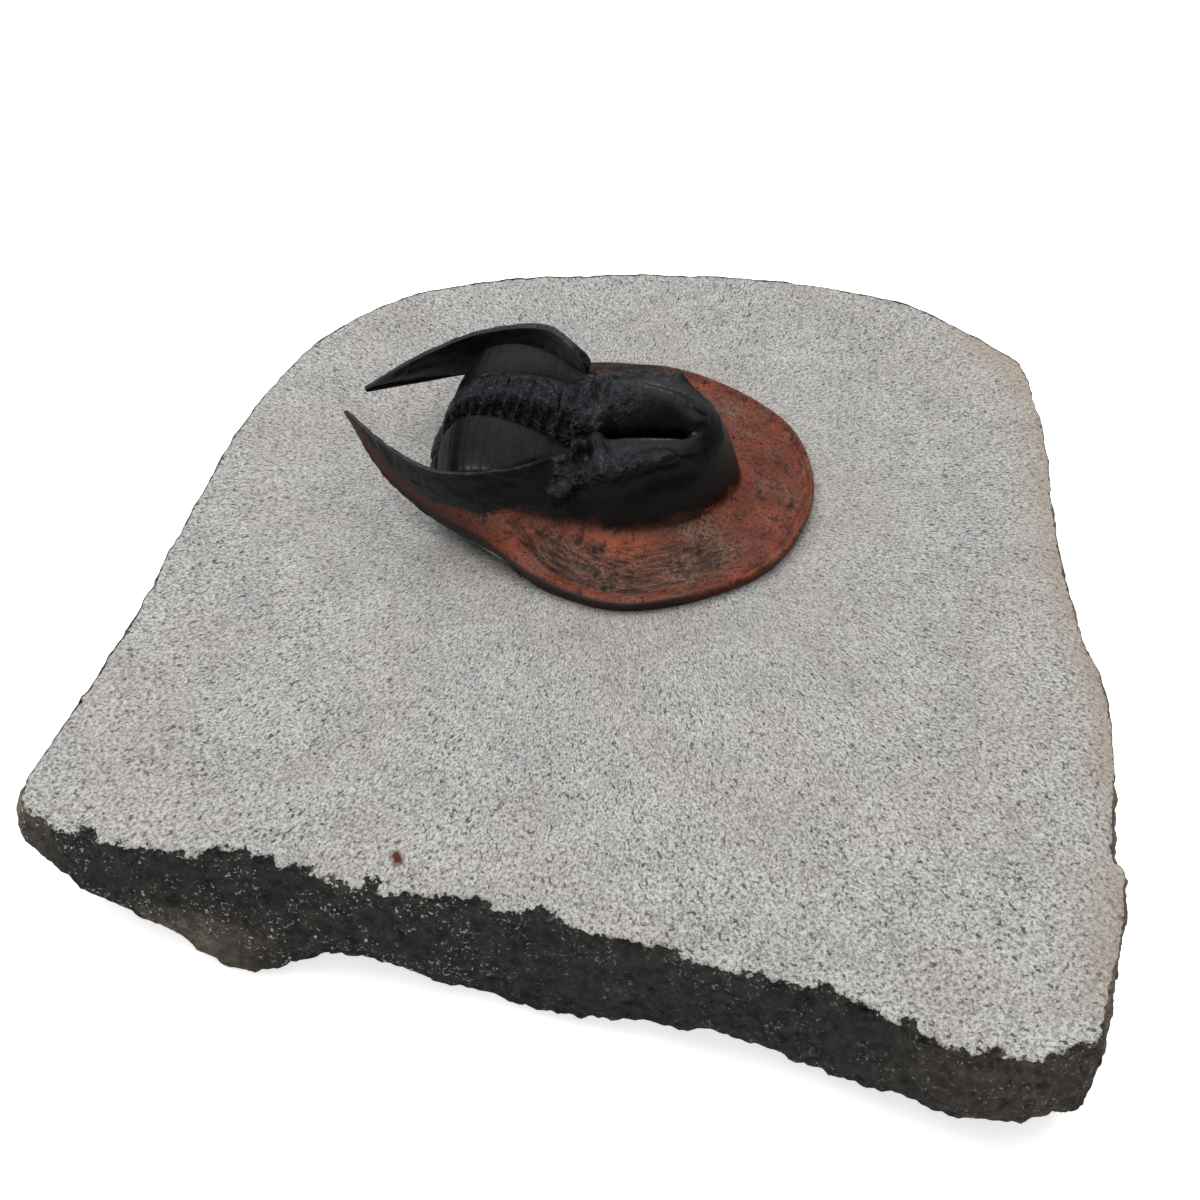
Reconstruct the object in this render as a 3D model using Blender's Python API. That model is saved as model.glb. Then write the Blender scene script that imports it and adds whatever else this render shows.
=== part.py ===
"""Harpetid trilobite, prepared free of the rock, on its limestone slab.

The build makes one solid for the slab, one for the head shield (cephalon) with its
horseshoe brim and its two long genal blades, one for each thoracic segment and one for
the tail shield (pygidium).

Frame of the model: metres, +Z up, +X towards the trilobite's head, +Y to its left. The
origin is on the surface that the slab rests on, under the middle of the slab's box.
Lengths in this file are in millimetres, in the fossil's own frame: its origin is on the
slab's ground top, under the head. new_piece turns them into metres and sets them down.
"""
import math

import bmesh
import bpy
import numpy as np
from mathutils import Vector, noise

MM = 0.001
WELD = 0.002                  # points closer than this are one point

# Where the fossil stands
SLAB_HEIGHT = 15.2
FOSSIL_AT = (-1.1, 15.3, SLAB_HEIGHT)
GAP_TO_SLAB = 0.3             # open joint between the shell and the rock
GAP_BETWEEN_PLATES = 0.25     # open joint between two plates of the body

# Slab: corners of the ground top, with the depth of the broken side below each one
SLAB_CORNERS = (
    (-51.0, -54.0, 5.6), (-45.5, -56.4, 8.2), (-39.5, -57.3, 11.2), (-32.0, -57.1, 14.8),
    (-25.5, -57.2, 14.2), (-18.0, -58.4, 10.6), (-8.0, -59.2, 14.4), (0.6, -59.7, 14.9),
    (9.0, -61.3, 12.8), (18.0, -63.1, 10.6), (26.2, -63.8, 11.8), (34.0, -66.4, 10.4),
    (42.2, -69.1, 9.2), (51.2, -66.8, 9.6), (53.0, -60.5, 10.4), (54.4, -52.0, 11.6),
    (54.6, -45.6, 12.2), (53.4, -43.4, 12.4), (53.7, -34.0, 12.8), (52.7, -22.6, 12.4),
    (49.7, -13.1, 12.0), (47.5, -1.0, 12.6), (46.3, 11.2, 13.0), (44.4, 22.0, 12.2),
    (42.2, 28.2, 11.0), (35.0, 33.0, 11.4), (27.0, 36.8, 12.6), (13.6, 38.3, 13.2),
    (3.0, 37.9, 12.8), (-8.0, 36.4, 12.0), (-20.0, 33.6, 12.6), (-30.0, 29.0, 13.2),
    (-37.8, 21.2, 12.4), (-42.3, 11.0, 11.6), (-44.7, 0.0, 12.2), (-46.4, -14.0, 12.8),
    (-47.7, -27.0, 11.8), (-50.2, -41.0, 9.8), (-52.0, -50.0, 7.4),
)
SLAB_MIDDLE = (2.0, -14.0)
SLAB_COLUMNS = 116
PLUMB_SIDE = 0.8              # how much less the +X side bulges than the others
LEDGE_X = -29.0               # a ledge sticks out from the foot of the -Y side
LEDGE_REACH = 6.0
LEDGE_OUT = 3.2
# Rings of the slab's skin: outward step in mm, share of the side's depth, roughness in mm
SIDE_RINGS = (
    (0.0, 0.02, 0.25), (0.5, 0.14, 0.45), (1.0, 0.38, 0.7),
    (1.2, 0.66, 0.8), (0.6, 0.9, 0.7), (-0.8, 1.0, 0.4),
)
TOP_RING_STEP = -2.6          # ring just inside the ground top's edge
# Rings of the underside: outward step in mm, share of the rise from the foot to the edge
UNDER_RINGS = ((-6.0, 0.45), (-11.0, 0.1), (-13.0, 0.0))
LUMP_SIZE = 13.0              # wavelength of the side's lumps
CHIP_SIZE = 4.0               # wavelength of its chips
CHIP_SHARE = 0.6

# Cephalon: guide curves on the left side. The first five points of each lie at the front
# of the head, its front quarter, its shoulder, its side and its rear margin. The rest
# run down the blade to its tip.
REAR_MARGIN = -5.0
RIM = (
    (20.9, 0.0, 1.25), (18.1, 10.0, 1.2), (11.2, 16.1, 1.15), (2.6, 19.3, 1.1),
    (REAR_MARGIN, 18.0, 1.35), (-12.0, 14.6, 2.3), (-19.0, 11.4, 3.4), (-25.0, 7.5, 5.1),
)
BRIM_INNER_EDGE = (
    (12.9, 0.0, 2.5), (11.2, 4.4, 2.6), (7.4, 7.8, 2.7), (1.9, 9.9, 2.8),
    (REAR_MARGIN, 11.2, 4.4), (-11.6, 12.9, 7.3), (-18.6, 11.4, 6.9), (-24.8, 7.3, 7.1),
)
CHEEK_TOP = (
    (10.2, 0.0, 9.9), (9.2, 3.6, 9.8), (5.7, 6.3, 11.0), (1.1, 7.2, 12.0),
    (REAR_MARGIN, 7.9, 11.3), (-10.6, 11.4, 11.4), (-18.2, 11.1, 9.7), (-24.6, 7.1, 8.8),
)
INNER_RIDGE = (
    (9.7, 0.0, 10.5), (8.7, 2.9, 10.5), (5.9, 4.3, 11.2), (0.9, 4.6, 11.6),
    (REAR_MARGIN, 5.4, 9.9),
)
AXIAL_FURROW = (
    (9.2, 0.0, 11.0), (8.0, 2.3, 10.3), (5.5, 3.4, 8.8), (0.6, 3.7, 8.6),
    (REAR_MARGIN, 4.2, 9.1),
)
GLABELLA_CREST = (
    (8.4, 0.0, 11.4), (7.0, 0.0, 12.5), (4.2, 0.0, 14.1), (0.0, 0.0, 14.6),
    (REAR_MARGIN, 0.0, 13.2),
)
LEFT_TIP = (-29.6, 3.0, 7.8)
RIGHT_TIP = (-31.0, 0.8, 8.0)
# The left blade stands a little further out, from the rear margin to its last point
LEFT_BLADE_SPREAD = (0.5, 1.1, 1.3, 0.9)
RIGHT_BLADE_SPREAD = (0.0, 0.0, 0.0, 0.0)
HEAD_KEYS = 4                 # guide points from the front to the rear margin
STEPS_ON_HEAD = 7             # cross-sections between two guide points
STEPS_ON_BLADE = 5

# Cross-section of the cephalon
LIP_HEIGHT = 0.32             # raised rim above the brim
GROOVE_DEPTH = 0.18           # groove inside the raised rim
BRIM_SHARES = (0.045, 0.13, 0.55, 1.0)
CHEEK_SHARES = (0.16, 0.42, 0.72, 1.0)
GLABELLA_SHARES = (0.1, 0.34, 0.64, 1.0)
FOOT_UNDERCUT = 0.35          # the foot of the rim stands this far inside it
BLADE_PICKS = (8, 7, 5, 3, 1, 0)              # outer points that the inner face follows
BRIM_DISH = (2.4, 2.4, 2.3, 2.2, 1.6, 1.1, 1.0, 1.0, 1.0)
CHEEK_BULGE = (3.2, 2.8, 2.2, 1.8, 1.6, 1.2, 1.1, 1.0, 1.0)
BLADE_THICKNESS = 1.05
BLADE_THICKNESS_AT_TIP = 0.3

# Relief of the cephalon: place (x, y), reach and height
EYE_AT = (5.2, 6.7)
EYE_REACH = 0.95
EYE_HEIGHT = 0.95
OCCIPITAL_RING_X = -4.1
OCCIPITAL_RING_REACH = 0.9
OCCIPITAL_RING_HEIGHT = 1.0
OCCIPITAL_FURROW_X = -2.4
OCCIPITAL_FURROW_REACH = 0.6
OCCIPITAL_FURROW_DEPTH = 0.7
GLABELLA_HALF_WIDTH = 3.6

# Body: the plates stand between planes that lean back more and more behind the head.
# One value for each of six places from the head to the tail shield.
SEGMENTS = 16
SHORTENING = 0.25             # how much shorter the plates get towards the tail
AXIS_CREST = (
    (-5.3, 11.6), (-9.4, 12.7), (-13.4, 12.6), (-17.0, 11.5), (-19.2, 8.7), (-20.1, 5.3),
)
PLANE_FOOT_X = (-5.3, -8.5, -11.3, -13.6, -15.4, -16.7)
FURROW_HALF_WIDTH = (4.2, 3.7, 3.1, 2.8, 2.6, 2.3)
FURROW_DROP = (2.3, 1.9, 1.2, 0.9, 0.8, 0.7)
FOLD_HALF_WIDTH = (7.3, 8.6, 9.2, 8.9, 8.1, 7.0)
FOLD_DROP = (2.2, 2.0, 1.6, 1.4, 1.4, 1.3)
TIP_HALF_WIDTH = (8.4, 9.8, 10.4, 10.1, 9.2, 8.0)
TIP_DROP = (6.0, 6.0, 5.8, 5.2, 4.2, 2.9)
FOOT_INSET = 0.8
RING_RELIEF = (-0.32, 0.08, 0.08, -0.25)      # height of the axial ring along one plate
PLEURA_RELIEF = (-0.1, 0.05, 0.05, -0.1)
PIT_RELIEF = (0.0, -0.45, -0.45, 0.0)         # pit beside each axial ring
PLATE_SHARES = (0.0, 0.28, 0.74, 1.0)

# Tail shield: it fans on from the last plane down to the slab
TAIL_LEAN_END = 86.0          # degrees from upright at its rear edge
TAIL_SECTIONS = 7
TAIL_SHRINK = 0.55           # size at the rear edge against the last segment's
TAIL_RIB_RELIEF = 0.14

# Colours (sRGB) and finish of the materials
COLOURS = {"rock": "#8f8c86", "head": "#2a2022", "body": "#1c1d21"}
ROUGHNESS = {"rock": 0.9, "head": 0.42, "body": 0.4}
CREASE = {"rock": 28.0, "head": 50.0, "body": 35.0}     # degrees above which an edge is sharp


def linear(code):
    """Linear RGBA for an sRGB hex colour."""
    parts = [int(code[i:i + 2], 16) / 255 for i in (1, 3, 5)]
    return [c / 12.92 if c <= 0.04045 else ((c + 0.055) / 1.055) ** 2.4 for c in parts] + [1.0]


def new_material(finish):
    """Principled material for one of the finishes above."""
    material = bpy.data.materials.new(finish)
    material.use_nodes = True
    shader = material.node_tree.nodes["Principled BSDF"]
    shader.inputs["Base Color"].default_value = linear(COLOURS[finish])
    shader.inputs["Roughness"].default_value = ROUGHNESS[finish]
    shader.inputs["Metallic"].default_value = 0.0
    return material


def new_piece(name, points, faces, finish, parent):
    """Object made of points in the fossil's frame, with its faces turned outwards."""
    mesh = bpy.data.meshes.new(name)
    mesh.from_pydata([Vector(p) * MM for p in points], [], faces)
    shell = bmesh.new()
    shell.from_mesh(mesh)
    bmesh.ops.remove_doubles(shell, verts=shell.verts, dist=WELD * MM)
    bmesh.ops.dissolve_degenerate(shell, edges=shell.edges, dist=WELD * MM)
    bmesh.ops.recalc_face_normals(shell, faces=shell.faces)
    if shell.calc_volume(signed=True) < 0.0:
        bmesh.ops.reverse_faces(shell, faces=shell.faces)
    shell.to_mesh(mesh)
    shell.free()
    mesh.shade_smooth()
    mesh.set_sharp_from_angle(angle=math.radians(CREASE[finish]))
    mesh.materials.append(new_material(finish))
    piece = bpy.data.objects.new(name, mesh)
    piece.parent = parent
    piece.location = Vector(FOSSIL_AT) * MM
    bpy.context.scene.collection.objects.link(piece)
    return piece


def spline(before, start, end, after, u):
    """Point at share u of a smooth curve's stretch from start to end."""
    return 0.5 * (
        2.0 * start
        + (end - before) * u
        + (2.0 * before - 5.0 * start + 4.0 * end - after) * u ** 2
        + (3.0 * start - before - 3.0 * end + after) * u ** 3
    )


def along(guide, t, mirrored=False):
    """Value at place t of a smooth curve through the guide's values, one unit a stretch."""
    values = np.asarray(guide, float)
    last = len(values) - 1
    i = min(int(t), last - 1)
    start, end = values[i], values[i + 1]
    if i > 0:
        before = values[i - 1]
    elif mirrored:
        before = end * np.array((1.0, -1.0, 1.0))
    else:
        before = 2.0 * start - end
    after = values[i + 2] if i + 2 <= last else 2.0 * end - start
    return spline(before, start, end, after, t - i)


def bump(distance, reach):
    """Smooth rise from 0 to 1 within reach of a place."""
    return math.exp(-(distance / reach) ** 2)


def strips(rows, width, closed=False):
    """Triangles between neighbouring rows of points; closed joins each row's two ends."""
    faces = []
    for start, end in zip(rows, rows[1:]):
        for k in range(width if closed else width - 1):
            n = (k + 1) % width
            faces.append((start + k, start + n, end + k))
            faces.append((start + n, end + n, end + k))
    return faces


# Slab

def closed_outline(corners, count):
    """Evenly spaced points of a closed smooth curve through the corners."""
    ring = np.asarray(corners, float)
    total = len(ring)
    dense = []
    for i in range(total):
        four = [ring[(i + k) % total] for k in (-1, 0, 1, 2)]
        dense += [spline(*four, u) for u in np.linspace(0.0, 1.0, 12, endpoint=False)]
    dense = np.array(dense + dense[:1])
    length = np.r_[0.0, np.cumsum(np.linalg.norm(np.diff(dense[:, :2], axis=0), axis=1))]
    wanted = np.linspace(0.0, length[-1], count, endpoint=False)
    return np.array([np.interp(wanted, length, dense[:, axis]) for axis in range(3)]).T


def outward(outline):
    """Unit normals of the outline in plan, pointing away from the slab."""
    run = np.roll(outline, -1, axis=0)[:, :2] - np.roll(outline, 1, axis=0)[:, :2]
    normals = np.column_stack((run[:, 1], -run[:, 0]))
    return normals / np.linalg.norm(normals, axis=1)[:, None]


def roughness(point, lift=0.0):
    """Broken-rock unevenness at a point, from -1 to 1."""
    place = Vector((point[0], point[1], 2.0 * point[2] + lift))
    return noise.noise(place / LUMP_SIZE) + CHIP_SHARE * noise.noise(place / CHIP_SIZE)


def side_point(corner, normal, step, share, rough):
    """Point of the slab's broken side at a share of its depth."""
    out = step * (1.0 - PLUMB_SIDE * max(0.0, normal[0]))
    if normal[1] < 0.0:
        out += LEDGE_OUT * share ** 2 * bump(corner[0] - LEDGE_X, LEDGE_REACH)
    point = np.array((*(corner[:2] + normal * out), -corner[2] * share))
    push = rough * roughness(point)
    return np.array((*(point[:2] + normal * push), point[2]))


def under_point(corner, step, share):
    """Point of the underside, between the broken edge and the flat foot."""
    inward = np.array(SLAB_MIDDLE) - corner[:2]
    place = corner[:2] - step * inward / np.linalg.norm(inward)
    rise = (SLAB_HEIGHT - corner[2]) * share
    rise *= 1.0 + 0.35 * roughness((*place, 0.0), LUMP_SIZE)
    return np.array((*place, rise - SLAB_HEIGHT))


def build_slab(parent):
    """Limestone slab: ground top, broken sides, uneven underside with a flat foot."""
    outline = closed_outline(SLAB_CORNERS, SLAB_COLUMNS)
    normals = outward(outline)
    rings = [[(*(c[:2] + n * TOP_RING_STEP), 0.0) for c, n in zip(outline, normals)]]
    for step, share, rough in SIDE_RINGS:
        rings.append([side_point(c, n, step, share, rough) for c, n in zip(outline, normals)])
    for step, share in UNDER_RINGS:
        rings.append([under_point(c, step, share) for c in outline])
    rows = [k * SLAB_COLUMNS for k in range(len(rings))]
    faces = strips(rows, SLAB_COLUMNS, closed=True)
    faces.append(tuple(range(SLAB_COLUMNS)))
    faces.append(tuple(range(rows[-1], rows[-1] + SLAB_COLUMNS)))
    new_piece("matrix_slab", [p for ring in rings for p in ring], faces, "rock", parent)


# Cephalon

def head_relief(point):
    """Height that the eyes and the occipital ring add to the head at a point."""
    x, y = point[0], abs(point[1])
    eye = EYE_HEIGHT * bump(math.hypot(x - EYE_AT[0], y - EYE_AT[1]), EYE_REACH)
    across = bump(y, GLABELLA_HALF_WIDTH)
    ring = OCCIPITAL_RING_HEIGHT * bump(x - OCCIPITAL_RING_X, OCCIPITAL_RING_REACH)
    furrow = OCCIPITAL_FURROW_DEPTH * bump(x - OCCIPITAL_FURROW_X, OCCIPITAL_FURROW_REACH)
    return eye + across * (ring - furrow)


def outer_half(guides, t):
    """Cross-section from the rim up over the brim to the cheek's top."""
    rim, inner_edge, top = (along(guide, t, mirrored=True) for guide in guides)
    dish = along(BRIM_DISH, t)
    bulge = along(CHEEK_BULGE, t)
    lip = max(0.25, min(1.0, 1.0 - 0.25 * (t - HEAD_KEYS)))
    relief = (LIP_HEIGHT * lip, -GROOVE_DEPTH * lip, 0.0, 0.0)
    points = [rim]
    for share, extra in zip(BRIM_SHARES, relief):
        point = rim + (inner_edge - rim) * share
        point[2] = rim[2] + (inner_edge[2] - rim[2]) * share ** dish + extra
        points.append(point)
    for share in CHEEK_SHARES:
        point = inner_edge + (top - inner_edge) * share
        climb = 1.0 - (1.0 - share) ** bulge
        point[2] = inner_edge[2] + (top[2] - inner_edge[2]) * climb + head_relief(point)
        points.append(point)
    return points


def inner_half(t):
    """Cross-section from the cheek's inner ridge over the furrow to the glabella's crest."""
    ridge = along(INNER_RIDGE, t, mirrored=True)
    furrow = along(AXIAL_FURROW, t, mirrored=True)
    crest = along(GLABELLA_CREST, t)
    points = [ridge, furrow]
    for share in GLABELLA_SHARES:
        point = furrow + (crest - furrow) * share
        climb = math.sqrt(1.0 - (1.0 - share) ** 2)
        point[2] = furrow[2] + (crest[2] - furrow[2]) * climb
        points.append(point)
    for point in points:
        point[2] += head_relief(point)
    return points


def foot_of(outer):
    """Point under the rim, at the open joint above the slab."""
    inward = outer[4] - outer[0]
    inward *= FOOT_UNDERCUT / np.linalg.norm(inward)
    return np.array((outer[0][0] + inward[0], outer[0][1] + inward[1], GAP_TO_SLAB))


def head_section(guides, t):
    """Cross-section of the head from its foot to the crest, reliefs added."""
    outer = outer_half(guides, t)
    return [foot_of(outer)] + outer + inner_half(t)


def blade_section(guides, t, t_end):
    """Closed cross-section of a blade: outer face up, top edge, inner face down."""
    outer = outer_half(guides, t)
    nudge = 0.02
    ahead = outer_half(guides, max(t - nudge, 0.0))
    share = (t - HEAD_KEYS) / (t_end - HEAD_KEYS)
    thickness = BLADE_THICKNESS + (BLADE_THICKNESS_AT_TIP - BLADE_THICKNESS) * share
    inner = []
    for k in BLADE_PICKS:
        across = outer[min(k + 1, 8)] - outer[max(k - 1, 0)]
        normal = np.cross(ahead[k] - outer[k], across)
        normal /= np.linalg.norm(normal)
        normal *= -1.0 if normal[2] + 0.5 * normal[1] > 0.0 else 1.0
        inner.append(outer[k] + normal * thickness)
    if t == HEAD_KEYS:
        for point in inner:
            point[0] = REAR_MARGIN
            point[2] = max(point[2], GAP_TO_SLAB + 0.1)
        return [foot_of(outer)] + outer + inner
    under = outer[0] + (inner[-1] - outer[0]) * 0.5
    under[2] = min(outer[0][2], inner[-1][2]) - 0.1 * thickness
    return [under] + outer + inner


def half_of_head(tip, spread):
    """Sections of one half: those of the head, then those of its blade."""
    guides = []
    for guide in (RIM, BRIM_INNER_EDGE, CHEEK_TOP):
        blade = [(x, y + out, z) for (x, y, z), out in zip(guide[HEAD_KEYS:], spread)]
        guides.append((*guide[:HEAD_KEYS], *blade, tip))
    t_end = len(guides[0]) - 1
    head = [head_section(guides, t) for t in
            np.linspace(0.0, HEAD_KEYS, HEAD_KEYS * STEPS_ON_HEAD + 1)]
    steps = (t_end - HEAD_KEYS) * STEPS_ON_BLADE
    blade = [blade_section(guides, t, t_end) for t in
             np.linspace(HEAD_KEYS, t_end - 0.08, steps + 1)]
    return head, blade


def build_cephalon(parent):
    """Head shield with its brim, glabella, eyes, occipital ring and two genal blades."""
    points = []
    faces = []
    rear_margin = []
    floor = []
    halves = ((1.0, LEFT_TIP, LEFT_BLADE_SPREAD), (-1.0, RIGHT_TIP, RIGHT_BLADE_SPREAD))
    for side, tip, spread in halves:
        head, blade = half_of_head(tip, spread)
        flip = np.array((1.0, side, 1.0))
        width = len(head[0])
        head_rows = []
        for section in head:
            head_rows.append(len(points))
            points += [p * flip for p in section]
        outer_count = width - len(BLADE_PICKS)
        blade_rows = []
        for section in blade:
            blade_rows.append(len(points))
            points += [p * flip for p in section]
        faces += strips(head_rows, width)
        faces += strips(blade_rows, width, closed=True)
        faces.append(tuple(range(blade_rows[-1], blade_rows[-1] + width)))
        margin = [head_rows[-1] + k for k in range(width - 1, outer_count - 2, -1)]
        margin += [blade_rows[0] + k for k in range(outer_count, width)]
        margin.append(head_rows[-1])
        rear_margin.append(margin)
        floor.append(head_rows)
    left, right = rear_margin
    faces.append(tuple(left + right[:0:-1]))
    faces.append(tuple(floor[0][::-1] + floor[1][1:]))
    new_piece("cephalon", points, faces, "head", parent)


# Body

def plate_section(place, offset, ring, pleura, pit, size=1.0, lean=None):
    """Cross-section of the body in its leaning plane, from the left foot to the right.

    place runs from 0 at the head to 5 at the tail shield, and offset moves the plane
    along its own normal. ring, pleura and pit are heights added to the relief.
    """
    crest = along(AXIS_CREST, place)
    foot_x = along(PLANE_FOOT_X, place)
    rise = np.array((crest[0] - foot_x, crest[1] - GAP_TO_SLAB))
    height = np.linalg.norm(rise) * size
    angle = math.atan2(-rise[0], rise[1]) if lean is None else math.radians(lean)
    up = np.array((-math.sin(angle), math.cos(angle)))
    back = np.array((-math.cos(angle), -math.sin(angle)))
    furrow_y = along(FURROW_HALF_WIDTH, place) * size
    fold_y = along(FOLD_HALF_WIDTH, place) * size
    tip_y = along(TIP_HALF_WIDTH, place) * size
    furrow = height - along(FURROW_DROP, place)
    fold = height - along(FOLD_DROP, place)
    tip = height - along(TIP_DROP, place) * size
    half = (
        (tip_y - FOOT_INSET, 0.0),
        (tip_y, tip),
        (0.55 * fold_y + 0.45 * tip_y, 0.4 * tip + 0.6 * fold),
        (fold_y, fold + 0.5 * pleura),
        (0.5 * (fold_y + furrow_y), 0.5 * (fold + furrow) + 0.45 + pleura),
        (furrow_y + 0.9, furrow + 0.3 + pleura),
        (furrow_y, furrow + pit),
        (0.8 * furrow_y, furrow + 0.5 * (height - furrow) + ring),
        (0.42 * furrow_y, furrow + 0.87 * (height - furrow) + ring),
        (0.0, height + ring),
    )
    base = np.array((foot_x, GAP_TO_SLAB)) + back * offset
    section = []
    for side, run in ((1.0, half), (-1.0, half[-2::-1])):
        for y, reach in run:
            spot = base + up * reach
            section.append(np.array((spot[0], side * y, max(spot[1], GAP_TO_SLAB))))
    return section


def loft(name, sections, parent):
    """Solid through a row of closed sections, capped at both ends."""
    width = len(sections[0])
    rows = [k * width for k in range(len(sections))]
    faces = strips(rows, width, closed=True)
    faces.append(tuple(range(width)))
    faces.append(tuple(range(rows[-1], rows[-1] + width)))
    new_piece(name, [p for section in sections for p in section], faces, "body", parent)


def plate_place(index):
    """Place of the joint behind plate number index, from 0 at the head to 5."""
    share = index / SEGMENTS
    return (len(AXIS_CREST) - 1) * share * (1.0 + SHORTENING * (1.0 - share))


def build_segment(index, parent):
    """One thoracic segment: an axial ring and a pleura on each side."""
    start, end = plate_place(index), plate_place(index + 1)
    sections = []
    reliefs = zip(PLATE_SHARES, RING_RELIEF, PLEURA_RELIEF, PIT_RELIEF)
    for share, ring, pleura, pit in reliefs:
        inset = GAP_BETWEEN_PLATES * (0.5 - share)
        place = start + (end - start) * share
        sections.append(plate_section(place, inset, ring, pleura, pit))
    loft(f"thoracic_segment_{index + 1:02d}", sections, parent)


def build_pygidium(parent):
    """Tail shield: the body's last plate, fanning down to the slab with low ribs."""
    place = len(AXIS_CREST) - 1
    crest = AXIS_CREST[-1]
    first_lean = math.degrees(math.atan2(PLANE_FOOT_X[-1] - crest[0], crest[1] - GAP_TO_SLAB))
    sections = []
    for k in range(TAIL_SECTIONS):
        share = k / (TAIL_SECTIONS - 1)
        size = 1.0 + (TAIL_SHRINK - 1.0) * share ** 1.5
        lean = first_lean + (TAIL_LEAN_END - first_lean) * share
        rib = TAIL_RIB_RELIEF * (-1.0) ** k
        offset = 0.5 * GAP_BETWEEN_PLATES * (1.0 - share)
        sections.append(plate_section(place, offset, rib, rib, 0.0, size, lean))
    loft("pygidium", sections, parent)


def main():
    for old in list(bpy.data.objects):
        bpy.data.objects.remove(old, do_unlink=True)
    specimen = bpy.data.objects.new("specimen", None)
    bpy.context.scene.collection.objects.link(specimen)
    build_slab(specimen)
    build_cephalon(specimen)
    for index in range(SEGMENTS):
        build_segment(index, specimen)
    build_pygidium(specimen)


main()
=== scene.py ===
"""Looks of a harpetid trilobite on its limestone slab: meshes, finishes, light and camera.

Lengths are in millimetres, in the fossil's own frame: its origin lies on the slab's ground
top, under the head, +X points to the head's front, +Y to the animal's left and +Z up.
in_frame() turns such points into metres in the part's frame.
"""
import functools
import itertools
import math

import bmesh
import bpy
import numpy as np
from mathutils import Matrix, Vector, geometry
from mathutils import noise as rock_noise


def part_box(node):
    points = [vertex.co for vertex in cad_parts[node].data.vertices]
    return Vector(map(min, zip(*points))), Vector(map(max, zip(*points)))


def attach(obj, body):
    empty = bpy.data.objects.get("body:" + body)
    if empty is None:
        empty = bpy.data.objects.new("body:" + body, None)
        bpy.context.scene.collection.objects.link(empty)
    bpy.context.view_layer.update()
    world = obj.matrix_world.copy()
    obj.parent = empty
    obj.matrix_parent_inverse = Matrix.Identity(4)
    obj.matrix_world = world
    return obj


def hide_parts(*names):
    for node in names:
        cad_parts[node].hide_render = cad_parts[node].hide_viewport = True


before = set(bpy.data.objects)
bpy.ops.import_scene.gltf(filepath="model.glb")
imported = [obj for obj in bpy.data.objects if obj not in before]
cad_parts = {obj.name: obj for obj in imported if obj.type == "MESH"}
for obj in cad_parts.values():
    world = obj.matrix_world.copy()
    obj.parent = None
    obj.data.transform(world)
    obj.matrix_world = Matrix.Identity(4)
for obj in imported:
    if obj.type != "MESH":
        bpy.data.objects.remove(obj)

MM = 0.001
NO_LIMITS = (-math.inf, math.inf)
TINY = 1e-12                  # keeps a length of nothing from dividing by zero
MERGED_WITHIN, SHORTEST_EDGE = 0.002, 0.001
SHARP_ANGLE = math.radians(60.0)   # steeper edges stay sharp in the shading
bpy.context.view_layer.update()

# Where the fossil stands, from the frame: the brim's front, the head's middle, the slab's top
BRIM_FRONT_X = 20.9
HEAD_LOW, HEAD_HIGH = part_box("cephalon")
SLAB_LOW, SLAB_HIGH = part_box("matrix_slab")
ORIGIN = np.array((
    HEAD_HIGH.x / MM - BRIM_FRONT_X, (HEAD_LOW.y + HEAD_HIGH.y) / 2 / MM, SLAB_HIGH.z / MM,
))
SLAB_HEIGHT = (SLAB_HIGH.z - SLAB_LOW.z) / MM

# Camera and studio
CAMERA_AT = (25.94, -191.30, 181.73)
CAMERA_AIM = (0.0, -17.74, 0.0)
LENS_MM = 72.0
SENSOR_MM = 36.0
STAGE_HALF = 12.0             # half the floor's width, in metres
FLOOR_GLOW, WALL_GLOW = 0.75, 1.0
# Lamps: place, aim, size in mm and power in watts
OVERHEAD_SOFTBOX = ((-110.0, 60.0, 900.0), (0.0, 0.0, 0.0), 1300.0, 16.5)
GLINT_PANEL = ((-300.0, -180.0, 430.0), (0.0, 0.0, 5.0), 160.0, 1.6)
ROOM_UP = (0.0, 0.6, 0.8)     # the room is brightest this way, and dim in front
ROOM_DIM, ROOM_BRIGHT = 0.02, 0.95

# Distance from the fossil's middle at which the slab's scratches have the width they are given
SCRATCH_RADIUS = 30.0

# Slab: corners of the ground top, with the depth of the broken side below each one
SLAB_CORNERS = (
    (-51.0, -54.0, 5.6), (-45.5, -56.4, 8.2), (-39.5, -57.3, 11.2), (-32.0, -57.1, 14.8),
    (-25.5, -57.2, 14.2), (-18.0, -58.4, 10.6), (-8.0, -59.2, 14.4), (0.6, -59.7, 14.9),
    (9.0, -61.3, 12.8), (18.0, -63.1, 10.6), (26.2, -63.8, 11.8), (34.0, -66.4, 10.4),
    (42.2, -69.1, 9.2), (51.2, -66.8, 9.6), (53.0, -60.5, 10.4), (54.4, -52.0, 11.6),
    (54.6, -45.6, 12.2), (53.4, -43.4, 12.4), (53.7, -34.0, 12.8), (52.7, -22.6, 12.4),
    (49.7, -13.1, 12.0), (47.5, -1.0, 12.6), (46.3, 11.2, 13.0), (44.4, 22.0, 12.2),
    (42.2, 28.2, 11.0), (35.0, 33.0, 11.4), (27.0, 36.8, 12.6), (13.6, 38.3, 13.2),
    (3.0, 37.9, 12.8), (-8.0, 36.4, 12.0), (-20.0, 33.6, 12.6), (-30.0, 29.0, 13.2),
    (-37.8, 21.2, 12.4), (-42.3, 11.0, 11.6), (-44.7, 0.0, 12.2), (-46.4, -14.0, 12.8),
    (-47.7, -27.0, 11.8), (-50.2, -41.0, 9.8), (-52.0, -50.0, 7.4),
)
RIGHT_EDGE_Y = (-66.8, -45.6, -22.6, -1.0, 22.0, 33.0)    # the slab's right edge, in plan
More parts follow.
